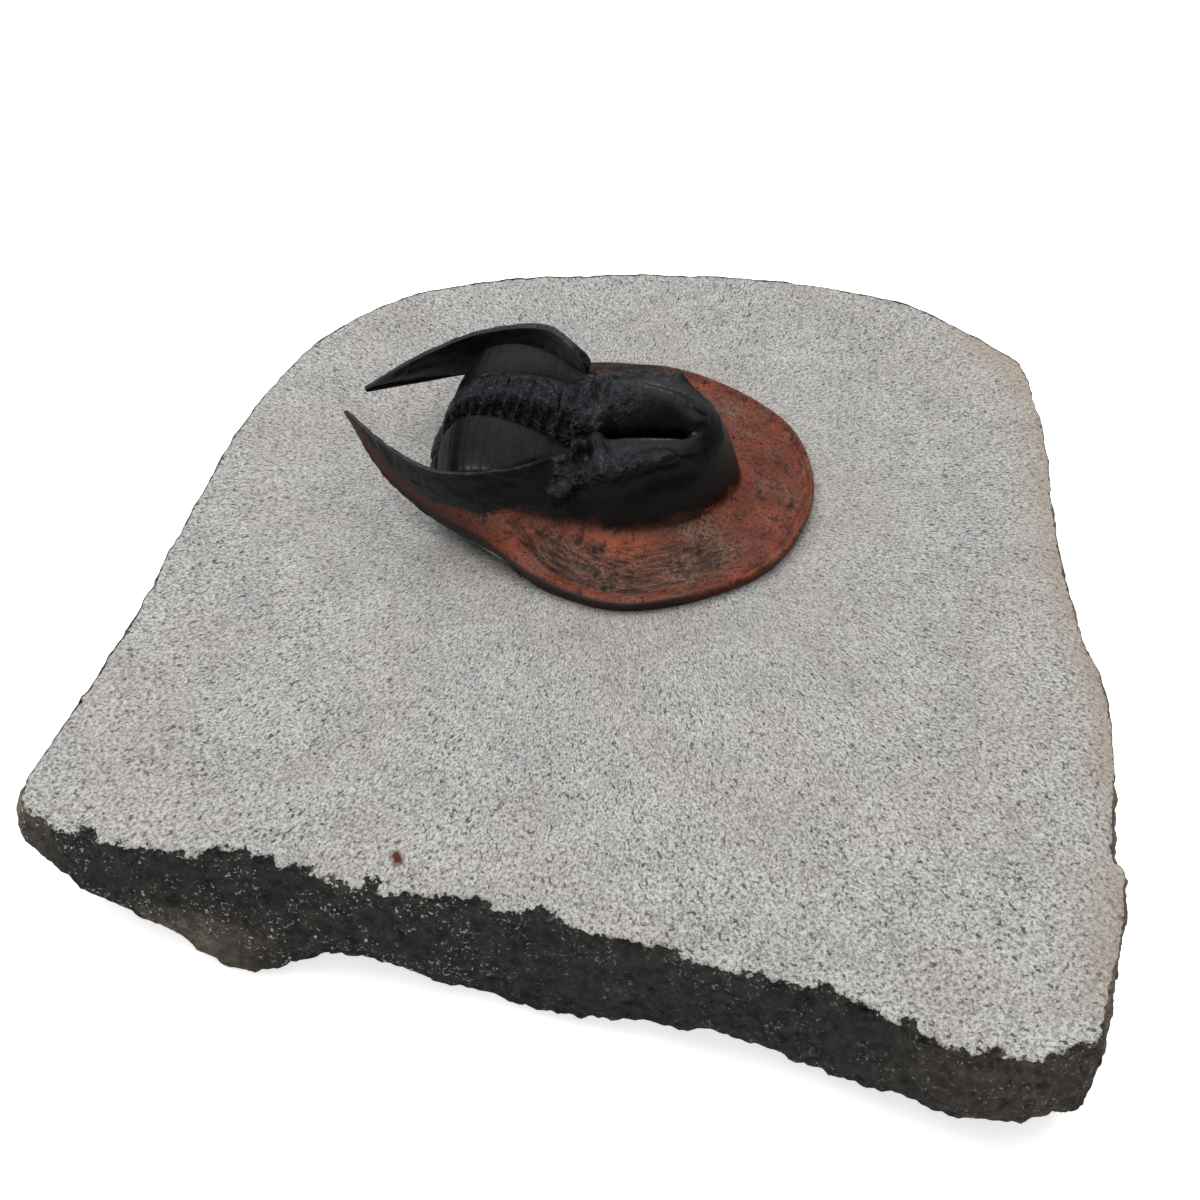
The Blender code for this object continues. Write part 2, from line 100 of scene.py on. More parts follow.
RIGHT_EDGE_X = (52.0, 54.6, 52.7, 47.5, 44.4, 36.0)
SLAB_MIDDLE = (2.0, -14.0)
SLAB_COLUMNS = 960
# The broken side: outward step in mm, share of the side's depth, lumpiness in mm
SIDE_PROFILE = (
    (0.0, 0.0, 0.1), (0.0, 0.02, 0.25), (0.5, 0.14, 0.45), (1.0, 0.38, 0.7),
    (1.2, 0.66, 0.8), (0.6, 0.9, 0.7), (-0.8, 1.0, 0.4),
)
SIDE_RINGS = 34
PLUMB_SIDE = 0.8              # how much less the +X side bulges than the others
LEDGE_X, LEDGE_REACH, LEDGE_OUT = -29.0, 6.0, 3.2
LUMP_SIZE, CHIP_SIZE, CHIP_SHARE = 13.0, 4.0, 0.6
EDGE_RINGS = 15               # fine rings of the top beside its edge
EDGE_BAND = 3.0               # how far they reach in
TOP_SPACING = 0.62            # between the points of the rest of the top
FOOT_SPACING = 2.2            # between the points of the underside
# How those points lie, as shares of their spacing: between rows, at random, off the edge
FILL_ROWS, FILL_JITTER, FILL_MARGIN = 0.87, 0.2, 0.6
# Underside: outward step, and share of the rise from the flat foot to the edge
UNDER_PROFILE = ((-0.8, 1.0), (-6.0, 0.45), (-11.0, 0.1), (-13.0, 0.0))
UNDER_RINGS = 14
UNDER_LUMPS = 0.35            # how much of its rise the underside varies by
# Relief of the slab: height and size in mm of each layer of noise
RAGGED_EDGE = ((0.55, 3.4), (0.32, 1.3), (0.14, 0.6))
EDGE_CHIPS = ((1.5, 3.6), (1.0, 1.6), (0.5, 0.8))
GROUND_WAVES = ((0.07, 14.0), (0.03, 3.0), (0.012, 1.3))
BROKEN_GRAINS = ((0.22, 1.0), (0.1, 0.5))
FACETS, SMALL_FACETS = (0.55, 4.2), (0.4, 1.9)
DEEPEST_CHIP = 1.1
ROUNDED_EDGE = 0.45           # how far the worn edge on the +X side sinks
GROUND_OFF = 0.08             # how far the ground face lies below the slab's full height
# Brown tint in plan beside the brim and the near blade, a dusty stain and painted shade where they
# meet the slab: strength, place, reach and stretch along X
DUST = ((0.34, (2.0, -21.0), 5.0, 1.5), (0.25, (-13.6, -14.2), 4.5, 1.0))
RUST_FLECK_AT, RUST_FLECK_REACH = (-14.1, -54.3), 0.75

# Head shield: guide curves on the left side, from the front of the head round to the rear
# margin (the fifth point) and on down the blade
REAR_MARGIN = -5.0
RIM = (
    (20.9, 0.0, 1.25), (18.1, 10.0, 1.2), (11.2, 16.1, 1.15), (2.6, 19.3, 1.1),
    (REAR_MARGIN, 18.0, 1.35), (-12.0, 14.6, 2.3), (-19.0, 11.4, 3.4), (-25.0, 7.5, 5.1),
)
BRIM_INNER_EDGE = (
    (12.9, 0.0, 2.5), (11.2, 4.4, 2.6), (7.4, 7.8, 2.7), (1.9, 9.9, 2.8),
    (REAR_MARGIN, 11.2, 4.4), (-11.6, 12.9, 7.3), (-18.6, 11.4, 6.9), (-24.8, 7.3, 7.1),
)
# The cheek's top: beside the eye, the left cheek stands a little higher than the right one
CHEEK_FRONT = ((10.2, 0.0, 9.9), (9.1, 3.4, 10.0))
LEFT_CHEEK = ((5.7, 6.3, 10.7), (1.1, 7.2, 11.2))
RIGHT_CHEEK = ((5.7, 6.0, 10.6), (1.1, 7.4, 10.4))
CHEEK_REAR = (
    (REAR_MARGIN, 7.9, 11.3), (-10.6, 11.4, 11.4), (-18.2, 11.1, 9.7), (-24.6, 7.1, 8.8),
)
INNER_RIDGE = (
    (9.7, 0.0, 10.5), (8.6, 2.5, 10.9), (5.9, 3.5, 11.2), (0.9, 4.4, 11.4),
    (REAR_MARGIN, 5.2, 10.6),
)
AXIAL_FURROW = (
    (9.2, 0.0, 11.0), (7.9, 2.1, 11.4), (5.5, 3.0, 8.8), (0.6, 3.4, 8.3),
    (REAR_MARGIN, 4.2, 9.9),
)
GLABELLA_CREST = (
    (8.4, 0.0, 11.4), (7.0, 0.0, 12.5), (4.2, 0.0, 14.1), (0.0, 0.0, 14.6),
    (REAR_MARGIN, 0.0, 13.2),
)
LEFT_TIP, RIGHT_TIP = (-29.6, 3.0, 7.8), (-31.0, 0.8, 8.0)
LEFT_BLADE_SPREAD, RIGHT_BLADE_SPREAD = (0.5, 1.1, 1.3, 0.9), (0.0, 0.0, 0.0, 0.0)
HEAD_KEYS = 4
# Lines on the left side: the brow below the eye and the hollow under it; the ridge and the
# furrow beside the glabella; the raised border at the rear, from the occipital ring to the
# blade, and the hollow behind it; and the thin crest along the glabella's middle
BROW = (
    (-5.6, 10.2, 7.6), (-3.7, 8.9, 8.6), (-1.5, 8.3, 9.3), (0.5, 8.0, 9.7), (3.7, 6.9, 10.4),
    (6.0, 6.3, 10.5),
)
BROW_HOLLOW = ((2.8, 8.6, 8.0), (4.6, 7.6, 9.0), (6.4, 7.2, 9.0), (7.7, 6.4, 8.6))
RIDGE_LINE = (
    (-1.9, 4.3, 11.4), (0.2, 4.5, 11.5), (2.3, 4.4, 11.4), (4.3, 4.0, 11.3), (6.0, 3.5, 11.2),
)
FURROW_LINE = ((-0.9, 3.4, 9.0), (1.5, 3.3, 9.0), (4.0, 3.1, 9.3), (5.7, 2.8, 9.7))
REAR_BORDER = ((-2.3, 2.4, 12.4), (-2.4, 4.2, 11.0), (-1.6, 6.4, 10.4), (-1.2, 8.0, 9.6))
REAR_HOLLOW = ((-3.9, 4.0, 9.6), (-3.8, 5.2, 9.4), (-3.7, 6.6, 9.2))
CREST_LINE = ((-2.6, 0.5, 14.3), (2.6, 0.3, 14.5), (6.0, 0.2, 13.3), (7.4, 0.2, 12.4))
LEFT_BROW_HEIGHT, RIGHT_BROW_HEIGHT, BROW_REACH = 0.1, 0.6, 0.9
ROUGH_BROW, ROUGH_BROW_REACH = 0.95, 1.5
# For each other line: reach and height in mm, and how rough it is
CHEEK_RELIEF = (
    (BROW_HOLLOW, 1.7, -0.5, 0.0), (REAR_BORDER, 0.8, 0.5, 0.7), (REAR_HOLLOW, 0.9, -0.8, 0.5),
    (RIDGE_LINE, 0.3, 0.2, 0.3), (FURROW_LINE, 1.2, -0.9, 0.0),
)
CREST_REACH, CREST_HEIGHT = 0.35, 0.07
RIM_SAMPLES, LINE_SAMPLES = 240, 40
ROWS_ON_HEAD, ROWS_ON_BLADE = 200, 120
# Zones of the head's cross-sections: 0 wall, 1 brim, 2 cheek, 3 the cheek's flat top, 4 the drop
# into the furrow, 5 glabella, and 7 the blade's inner face. A point's zone runs on between them.
INNER_FACE_ZONE = 7.0
WALL_POINTS, BRIM_POINTS, CHEEK_POINTS = 6, 44, 42
TOP_POINTS, DROP_POINTS, GLABELLA_POINTS = 11, 10, 26
BRIM_DISH = (2.4, 2.4, 2.3, 2.2, 1.6, 1.1, 1.0, 1.0, 1.0)
CHEEK_BULGE = (1.5, 1.5, 1.8, 1.8, 1.6, 1.2, 1.1, 1.0, 1.0)
BLADE_THICKNESS, BLADE_THICKNESS_AT_TIP = 0.75, 0.35
BLADE_HANG = 0.4              # how far the blade reaches down below its rim line
BLADE_SHORT = 0.06            # the blade ends this share of a stretch before its tip point
INNER_FACE_POINTS = 24
LIP_AT, LIP_REACH, LIP_HEIGHT = 0.35, 0.24, 0.34
GROOVE_BEHIND_LIP, GROOVE_REACH, GROOVE_DEPTH = 0.6, 0.3, 0.2
BRIM_MIDDLE_X, BRIM_RADIUS = 1.0, 14.0   # of the arcs that the wrinkles follow
WRINKLE_SIZE, WRINKLE_HEIGHT = 0.8, 0.3
WRINKLED_EVERYWHERE = 0.22    # the share of the wrinkles that the smooth brim has
PIT_SIZE, BRIM_PIT_DEPTH = 0.9, 0.17
BRIM_SWELL = ((0.12, 3.2), (0.06, 1.2))
HEAD_LUMPS = ((0.03, 1.4), (0.015, 0.6))
BLADE_LUMPS = ((0.06, 1.6), (0.05, 0.7))
CRUMB_SIZE, CRUMB_HEIGHT = 1.1, 0.26
# Grey stains of the brim, then patches of painted light on it, in plan: strength, place, reach and
# stretch along X
GREY_STAINS = ((0.9, (9.8, -8.8), 2.6, 1.0), (0.8, (10.3, 12.6), 1.7, 1.0))
BRIGHT_STAINS = ((0.8, (1.0, -11.5), 2.0, 2.2), (0.6, (-9.5, -14.0), 2.4, 1.0))
NICK_AT, NICK_REACH = (14.6, -1.6), 0.34
EYE_AT, EYE_REACH, EYE_HEIGHT = (5.2, 6.6), 0.85, 0.8
RIGHT_EYE_SHARE = 0.45        # the right eye is worn down
OCCIPITAL_RING_X, OCCIPITAL_RING_REACH, OCCIPITAL_RING_HEIGHT = -4.1, 0.9, 1.0
OCCIPITAL_FURROW_X, OCCIPITAL_FURROW_REACH, OCCIPITAL_FURROW_DEPTH = -2.4, 0.6, 0.7
GLABELLA_HALF_WIDTH = 3.6
FURROW_CLOSURE = 1.5          # fills the furrow beside the glabella at its rear end
SADDLE_X, SADDLE_REACH, SADDLE_DEPTH = -3.6, 1.1, 1.9   # dip between the eye and the blade
LEFT_DIP_X, LEFT_DIP_REACH, LEFT_DIP = -2.6, 3.0, 2.4   # the left cheek sinks further there
FOOT_UNDERCUT = 0.35
SUNK = 0.06                   # how deep the shell's foot stands in the slab's surface
SMOOTHING_ROUNDS = 5

# Body: the plates stand between planes that lean back more and more behind the head
SEGMENTS = 16
SHORTENING = 0.25
AXIS_CREST = (
    (-5.3, 11.6), (-9.4, 12.7), (-13.4, 12.6), (-17.0, 11.5), (-19.2, 8.7), (-20.1, 5.3),
)
PLANE_FOOT_X = (-5.3, -8.5, -11.3, -13.6, -15.4, -16.7)
FURROW_HALF_WIDTH = (4.2, 3.7, 3.1, 2.8, 2.6, 2.3)
FURROW_DROP = (2.3, 1.9, 1.2, 0.9, 0.8, 0.7)
FOLD_HALF_WIDTH = (7.3, 8.6, 9.2, 8.9, 8.1, 7.0)
FOLD_DROP = (2.2, 2.0, 1.6, 1.4, 1.4, 1.3)
TIP_HALF_WIDTH = (8.4, 9.8, 10.4, 10.1, 9.2, 8.0)
TIP_DROP = (6.0, 6.0, 5.8, 5.2, 4.2, 2.9)
FOOT_INSET = 0.8
TAIL_LEAN_END = 86.0
TAIL_SHRINK = 0.55
TAIL_RIBS = 5
JOINT_GAP = 0.01
PIT_DEPTH, PIT_SLANT = 1.6, 0.16
RING_ARCH, RING_JOINT = 0.07, 0.07
# Height of a pleura's arch and depth of its joint: along the body, and what its bend adds
PLEURA_ARCH, PLEURA_JOINT = (0.008, 0.07), (0.018, 0.12)
HEAD_OVERLAP = 0.28           # how far the first plate fills the gap behind the head
RIGHT_WIDER = 1.2             # how much further the right pleurae reach at their shoulder
PIT_TOPS = (6.5, 8.35)        # where the pits end below the ring, on the left and the right
RING_LUMP_SIZE, RING_LUMP_HEIGHT, RING_ROUGHNESS = 1.3, 0.14, 0.65
PLATE_LUMPS = ((0.015, 0.9), (0.03, 2.5))
PLATE_ROWS, TAIL_ROWS, POINTS_A_STRETCH = 15, 46, 9


# Numbers and noise

def linear(code):
    """Linear RGBA for an sRGB hex colour."""
    parts = [int(code[i:i + 2], 16) / 255 for i in (1, 3, 5)]
    return [c / 12.92 if c <= 0.04045 else ((c + 0.055) / 1.055) ** 2.4 for c in parts] + [1.0]


def in_frame(points):
    """Metres in the part's frame."""
    return (np.asarray(points, float) + ORIGIN) * MM


def bump(distance, reach):
    """Smooth rise from 0 to 1 within reach of a place."""
    return np.exp(-(distance / reach) ** 2)


def ease(value, start, end):
    """0 before start, 1 after end, smooth between them."""
    share = np.clip((value - start) / (end - start), 0.0, 1.0)
    return share * share * (3.0 - 2.0 * share)


CHANCE = np.random.default_rng(12)
ORDER = CHANCE.permutation(256)
SLOPES = CHANCE.normal(size=(256, 3))
SLOPES /= np.linalg.norm(SLOPES, axis=1)[:, None]


def noise(points, size, seed=0):
    """Smooth noise from about -1 to 1, with lumps of about the given size."""
    spot = np.asarray(points, float) / size + 31.7 * seed
    cell = np.floor(spot).astype(int)
    rest = spot - cell
    fade = rest ** 3 * (rest * (rest * 6.0 - 15.0) + 10.0)
    total = 0.0
    for corner in itertools.product((0, 1), repeat=3):
        at = (cell + corner) & 255
        turn = ORDER[(ORDER[(ORDER[at[:, 0]] + at[:, 1]) & 255] + at[:, 2]) & 255]
        weight = np.where(corner, fade, 1.0 - fade).prod(axis=1)
        total = total + weight * (SLOPES[turn] * (rest - corner)).sum(axis=1)
    return 1.7 * total


def layered_noise(points, size, layers, seed=0):
    """Noise with finer and weaker layers added."""
    return sum(noise(points, size / 2 ** k, seed + k) / 2 ** k for k in range(layers))


def unevenness(points, layers, seed):
    """Noise added up from layers, each with its own height and size in mm."""
    return sum(height * noise(points, size, seed + k) for k, (height, size) in enumerate(layers))


def unit(vectors):
    """The vectors, each brought to length 1."""
    return vectors / np.linalg.norm(vectors, axis=-1, keepdims=True)


def stains(x, y, places):
    """Sum of soft stains in plan: strength, place, reach and stretch along X of each."""
    return sum(
        strength * bump(np.hypot((x - at[0]) / stretch, y - at[1]), reach)
        for strength, at, reach, stretch in places
    )


def spline(before, start, end, after, u):
    """Point at share u of a smooth curve's stretch from start to end."""
    return 0.5 * (
        2.0 * start + (end - before) * u
        + (2.0 * before - 5.0 * start + 4.0 * end - after) * u ** 2
        + (3.0 * start - before - 3.0 * end + after) * u ** 3
    )


def along(guide, places, mirrored=False):
    """Values at places of a smooth curve through the guide's values, one unit a stretch."""
    values = np.asarray(guide, float).reshape(len(guide), -1)
    places = np.atleast_1d(np.asarray(places, float))
    first = values[1] * (1.0, -1.0, 1.0) if mirrored else 2.0 * values[0] - values[1]
    padded = np.vstack((first, values, 2.0 * values[-1] - values[-2]))
    i = np.minimum(places.astype(int), len(values) - 2)
    u = (places - i)[:, None]
    return spline(padded[i], padded[i + 1], padded[i + 2], padded[i + 3], u)


# Meshes

def strips(rows, width, closed=False):
    """Quads between neighbouring rows of points; closed joins each row's two ends."""
    faces = []
    for start, end in zip(rows, rows[1:]):
        for k in range(width if closed else width - 1):
            n = (k + 1) % width
            faces.append((start + k, start + n, end + n, end + k))
    return faces


def new_object(name, data):
    """Object that holds the data and stands in the scene."""
    made = bpy.data.objects.new(name, data)
    bpy.context.scene.collection.objects.link(made)
    return made


def new_piece(name, points, faces, material, stands_for, marks):
    """Closed shell that stands for a node of the frame, with named values on its points."""
    mesh = bpy.data.meshes.new(name)
    mesh.from_pydata(in_frame(points).tolist(), [], faces)
    for label, values in marks.items():
        mesh.attributes.new(label, "FLOAT", "POINT").data.foreach_set("value", values)
    shell = bmesh.new()
    shell.from_mesh(mesh)
    bmesh.ops.remove_doubles(shell, verts=shell.verts, dist=MERGED_WITHIN * MM)
    bmesh.ops.dissolve_degenerate(shell, edges=shell.edges, dist=SHORTEST_EDGE * MM)
    bmesh.ops.recalc_face_normals(shell, faces=shell.faces)
    if shell.calc_volume(signed=True) < 0.0:
        bmesh.ops.reverse_faces(shell, faces=shell.faces)
    shell.to_mesh(mesh)
    shell.free()
    mesh.shade_smooth()
    mesh.set_sharp_from_angle(angle=SHARP_ANGLE)
    mesh.materials.append(material)
    piece = new_object(name, mesh)
    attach(piece, "root")
    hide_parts(stands_for)
    return piece


def places_of(piece):
    """The piece's points in the fossil's frame."""
    flat = np.empty(3 * len(piece.data.vertices))
    piece.data.vertices.foreach_get("co", flat)
    return flat.reshape(-1, 3) / MM - ORIGIN


def normals_of(piece):
    """Unit normals at the piece's points."""
    flat = np.empty(3 * len(piece.data.vertices))
    piece.data.vertex_normals.foreach_get("vector", flat)
    return flat.reshape(-1, 3)


def mark_of(piece, label):
    """A named value on the piece's points."""
    values = np.empty(len(piece.data.vertices))
    piece.data.attributes[label].data.foreach_get("value", values)
    return values


def set_marks(piece, limits=(0.0, 1.0), **marks):
    """Writes named values on the piece's points, kept within the limits."""
    kept = piece.data.attributes
    for label, values in marks.items():
        store = kept.get(label) or kept.new(label, "FLOAT", "POINT")
        store.data.foreach_set("value", np.clip(values, *limits).astype(float))


def move(piece, steps):
    """Moves the piece's points by steps in mm."""
    piece.data.vertices.foreach_set("co", in_frame(places_of(piece) + steps).ravel())
    piece.data.update()


def raise_relief(piece, heights):
    """Moves the piece's points along their normals by heights in mm."""
    move(piece, normals_of(piece) * heights[:, None])


# Materials

def add(tree, kind, feeds, out=0, **settings):
    """Adds a shader node with its settings, and gives one of its outputs.

    feeds holds its inputs by name or place: a number, a hex colour, or another node's output.
    """
    node = tree.nodes.new("ShaderNode" + kind)
    for key, value in settings.items():
        setattr(node, key, value)
    for key, value in feeds.items():
        if isinstance(value, bpy.types.NodeSocket):
            tree.links.new(value, node.inputs[key])
        else:
            node.inputs[key].default_value = linear(value) if isinstance(value, str) else value
    return node.outputs[out] if node.outputs else node


def new_finish(name):
    """Empty material; returns it, its way of adding nodes and the place on the surface in mm."""
    material = bpy.data.materials.new(name)
    material.use_nodes = True
    material.node_tree.nodes.clear()
    put = functools.partial(add, material.node_tree)
    metres = put("TexCoord", {}, "Object")
    scaled = put("VectorMath", {0: metres, 1: (1.0 / MM,) * 3}, operation="MULTIPLY")
    return material, put, put("VectorMath", {0: scaled, 1: ORIGIN.tolist()}, operation="SUBTRACT")


def close_finish(put, colour, roughness, normal, ior, gloss):
    """Ends a material in one principled surface."""
    surface = put("BsdfPrincipled", {
        "Base Color": colour, "Roughness": roughness, "Normal": normal,
        "IOR": ior, "Specular IOR Level": gloss,
    })
    put("OutputMaterial", {"Surface": surface})


def patches(put, place, size, start, end, detail=2.0, strength=1.0):
    """Soft-edged patches of a size in mm: 0 between them, and strength inside them.

    A patch's edge begins where the noise is at start, and it is whole where the noise is at end.
    """
    cloud = put("TexNoise", {"Vector": place, "Scale": 1.0 / size, "Detail": detail,
                             "Roughness": 0.62}, "Fac")
    return put("MapRange", {"Value": cloud, "From Min": start, "From Max": end,
                            "To Max": strength}, interpolation_type="SMOOTHSTEP")


def scratches(put, place, width, length):
    """Short scratches that point away from the fossil, from 0 to 1; width and length in mm."""
    flat = put("VectorMath", {0: place, 1: (1.0, 1.0, 0.0)}, operation="MULTIPLY")
    away = put("VectorMath", {0: flat}, operation="NORMALIZE")
    distance = put("VectorMath", {0: flat}, "Value", operation="LENGTH")
    around = put("VectorMath", {0: away, "Scale": SCRATCH_RADIUS / width}, operation="SCALE")
    outward = put("Math", {0: distance, 1: 1.0 / length}, operation="MULTIPLY")
    polar = put("CombineXYZ", {"Z": outward})
    spot = put("VectorMath", {0: around, 1: polar}, operation="ADD")
    return put("TexNoise", {"Vector": spot, "Scale": 1.0, "Detail": 1.0}, "Fac")


def limestone():
    """Dark bituminous limestone.

    Its top was ground and blasted with abrasive powder, which leaves it pale, matt and
    grainy, with short scratches that point away from the fossil. Where it broke it is
    charcoal, with pale calcite crystals, partly painted glints, and its oldest breaks have
    weathered tan.
    """
    material, put, place = new_finish("ground_and_broken_limestone")
    depth, age, calcite = (
        put("Attribute", {}, "Fac", attribute_name=label)
        for label in ("inside", "weathering", "calcite")
    )

    # Grit of 0.1 mm and scratches of 0.08 x 0.2 mm, both drawn twice as coarse to show. Larger
    # scratches show the dark rock, and the face is a little cloudy and warm in places.
    scratched = scratches(put, place, 0.15, 0.4)
    grit = put("TexNoise", {"Vector": place, "Scale": 1.0 / 0.2, "Detail": 2.0,
                            "Roughness": 0.65}, "Fac")
    texture = put("Mix", {0: 0.52, 2: scratched, 3: grit}, data_type="FLOAT")
    contrast = put("MapRange", {"Value": texture, "From Min": 0.36, "From Max": 0.62})
    pale = put("Mix", {0: contrast, 6: "#646362", 7: "#bcbbb8"}, 2, data_type="RGBA")
    streaks = scratches(put, place, 0.22, 0.6)
    specks = put("MapRange", {"Value": streaks, "From Min": 0.63, "From Max": 0.69,
                              "To Max": 0.8})
    clouds = patches(put, place, 7.0, 0.35, 0.7, detail=3.0, strength=0.2)
    warmth = patches(put, place, 16.0, 0.4, 0.65, strength=0.14)
    for share, tint, way in (
        (specks, "#2a2928", "MIX"), (clouds, "#98989a", "MULTIPLY"), (warmth, "#94877a", "MIX"),
    ):
        pale = put("Mix", {0: share, 6: pale, 7: tint}, 2, data_type="RGBA", blend_type=way)
    # Brown tint beside the fossil, a dusty stain and painted shade where it meets the slab; tan
    # weathering; a rust fleck
    for label, tint in (("dust", "#85705f"), ("weathering", "#917e69"), ("rust", "#4a2314")):
        share = put("Attribute", {}, "Fac", attribute_name=label)
        pale = put("Mix", {0: share, 6: pale, 7: tint}, 2, data_type="RGBA")

    # Broken faces: lumps of about a millimetre, and groups of calcite crystals of 0.2 mm, pale
    # partly in their own colour and partly as painted glints
    lumps = put("TexNoise", {"Vector": place, "Scale": 1.0 / 1.1, "Detail": 4.0,
                             "Roughness": 0.65}, "Fac")
    level = put("MapRange", {"Value": lumps, "From Min": 0.3, "From Max": 0.7})
    fresh = put("Mix", {0: level, 6: "#181716", 7: "#3b3834"}, 2, data_type="RGBA")
    old = put("Mix", {0: level, 6: "#463d34", 7: "#8a7c6b"}, 2, data_type="RGBA")
    dark = put("Mix", {0: age, 6: fresh, 7: old}, 2, data_type="RGBA")
    crystals = patches(put, place, 0.38, 0.58, 0.66, detail=3.0)
    groups = patches(put, place, 3.4, 0.42, 0.6)
    glints = put("Math", {0: crystals, 1: groups}, operation="MULTIPLY")
    glints = put("Math", {0: glints, 1: calcite}, operation="MULTIPLY")
    dark = put("Mix", {0: glints, 6: dark, 7: "#b5b2ad"}, 2, data_type="RGBA")

    # The ground face ends in a ragged line, chipped in steps of about half a millimetre
    ragged = put("TexNoise", {"Vector": place, "Scale": 1.0 / 0.55, "Detail": 3.0}, "Fac")
    border = put("Math", {0: ragged, 1: 1.8, 2: depth}, operation="MULTIPLY_ADD")
    ground = put("MapRange", {"Value": border, "From Min": 0.84, "From Max": 0.95})
    colour = put("Mix", {0: ground, 6: dark, 7: pale}, 2, data_type="RGBA")

    fine = put("Bump", {"Height": texture, "Distance": 0.24 * MM})
    coarse = put("Bump", {"Height": lumps, "Distance": 1.3 * MM})
    normal = put("Mix", {0: ground, 4: coarse, 5: fine}, 1, data_type="VECTOR")
    roughness = put("MapRange", {"Value": glints, "To Min": 0.85, "To Max": 0.3})
    close_finish(put, colour, roughness, normal, 1.5, 0.3)
    return material


def black_finish(put, place):
    """Colour, roughness and normal of the black shell."""
    worn, edge = (put("Attribute", {}, "Fac", attribute_name=label) for label in ("rough", "edge"))

    # Faint mottling of 1 to 2 mm; pale specks, dusty and also painted glints; and rough places
    # painted paler grey, a painted sheen for their glints
    tint = patches(put, place, 2.4, 0.35, 0.65, detail=3.0)
    colour = put("Mix", {0: tint, 6: "#060709", 7: "#0e1014"}, 2, data_type="RGBA")
    dusty = patches(put, place, 0.4, 0.6, 0.72, detail=3.0, strength=0.6)
    dull = put("Math", {0: worn, 1: patches(put, place, 0.9, 0.35, 0.65, detail=4.0)},
               operation="MULTIPLY")

    # Painted glints as pale grey streaks of about 0.1 x 0.3 mm on rough places, and a painted
    # highlight as pale grey lines along the ridges and edges that the head marks
    stretched = put("VectorMath", {0: place, 1: (0.6, 1.0, 2.0)}, operation="MULTIPLY")
    streaks = put("Math", {0: patches(put, stretched, 0.32, 0.57, 0.68, detail=3.0),
                           1: patches(put, place, 1.6, 0.42, 0.6)}, operation="MULTIPLY")
    streaks = put("Math", {0: streaks, 1: worn}, operation="MULTIPLY")
    rubbed = put("Math", {0: edge, 1: patches(put, stretched, 0.4, 0.38, 0.62)},
                 operation="MULTIPLY")
    pale = put("Math", {0: streaks, 1: rubbed}, operation="MAXIMUM")
    for share, grey in ((dusty, "#2a2b30"), (dull, "#2b2c31"), (pale, "#5c5e63")):
        colour = put("Mix", {0: share, 6: colour, 7: grey}, 2, data_type="RGBA")

    roughness = put("MapRange", {"Value": worn, "To Min": 0.38, "To Max": 0.15})
    crumbs = put("TexNoise", {"Vector": place, "Scale": 1.0 / 0.55, "Detail": 4.0,
                              "Roughness": 0.6}, "Fac")
    skin = put("TexNoise", {"Vector": place, "Scale": 1.0 / 0.2, "Detail": 2.0}, "Fac")
    faint = put("Math", {0: skin, 1: 0.05}, operation="MULTIPLY")
    height = put("Math", {0: crumbs, 1: worn, 2: faint}, operation="MULTIPLY_ADD")
    normal = put("Bump", {"Height": height, "Distance": 0.8 * MM})
    return colour, roughness, normal


def black_shell():
    """Calcite shell, black with carbon and polished by fine abrasive.

    It looks blue-grey where it faces the light and almost black where it turns away, and
    its satin gloss breaks into small glints where the surface is rough; pale grey streaks
    there are painted glints, and pale lines on the ridges are a painted highlight.
    """
    material, put, place = new_finish("black_calcite_shell")
    close_finish(put, *black_finish(put, place), 1.52, 0.2)
    return material


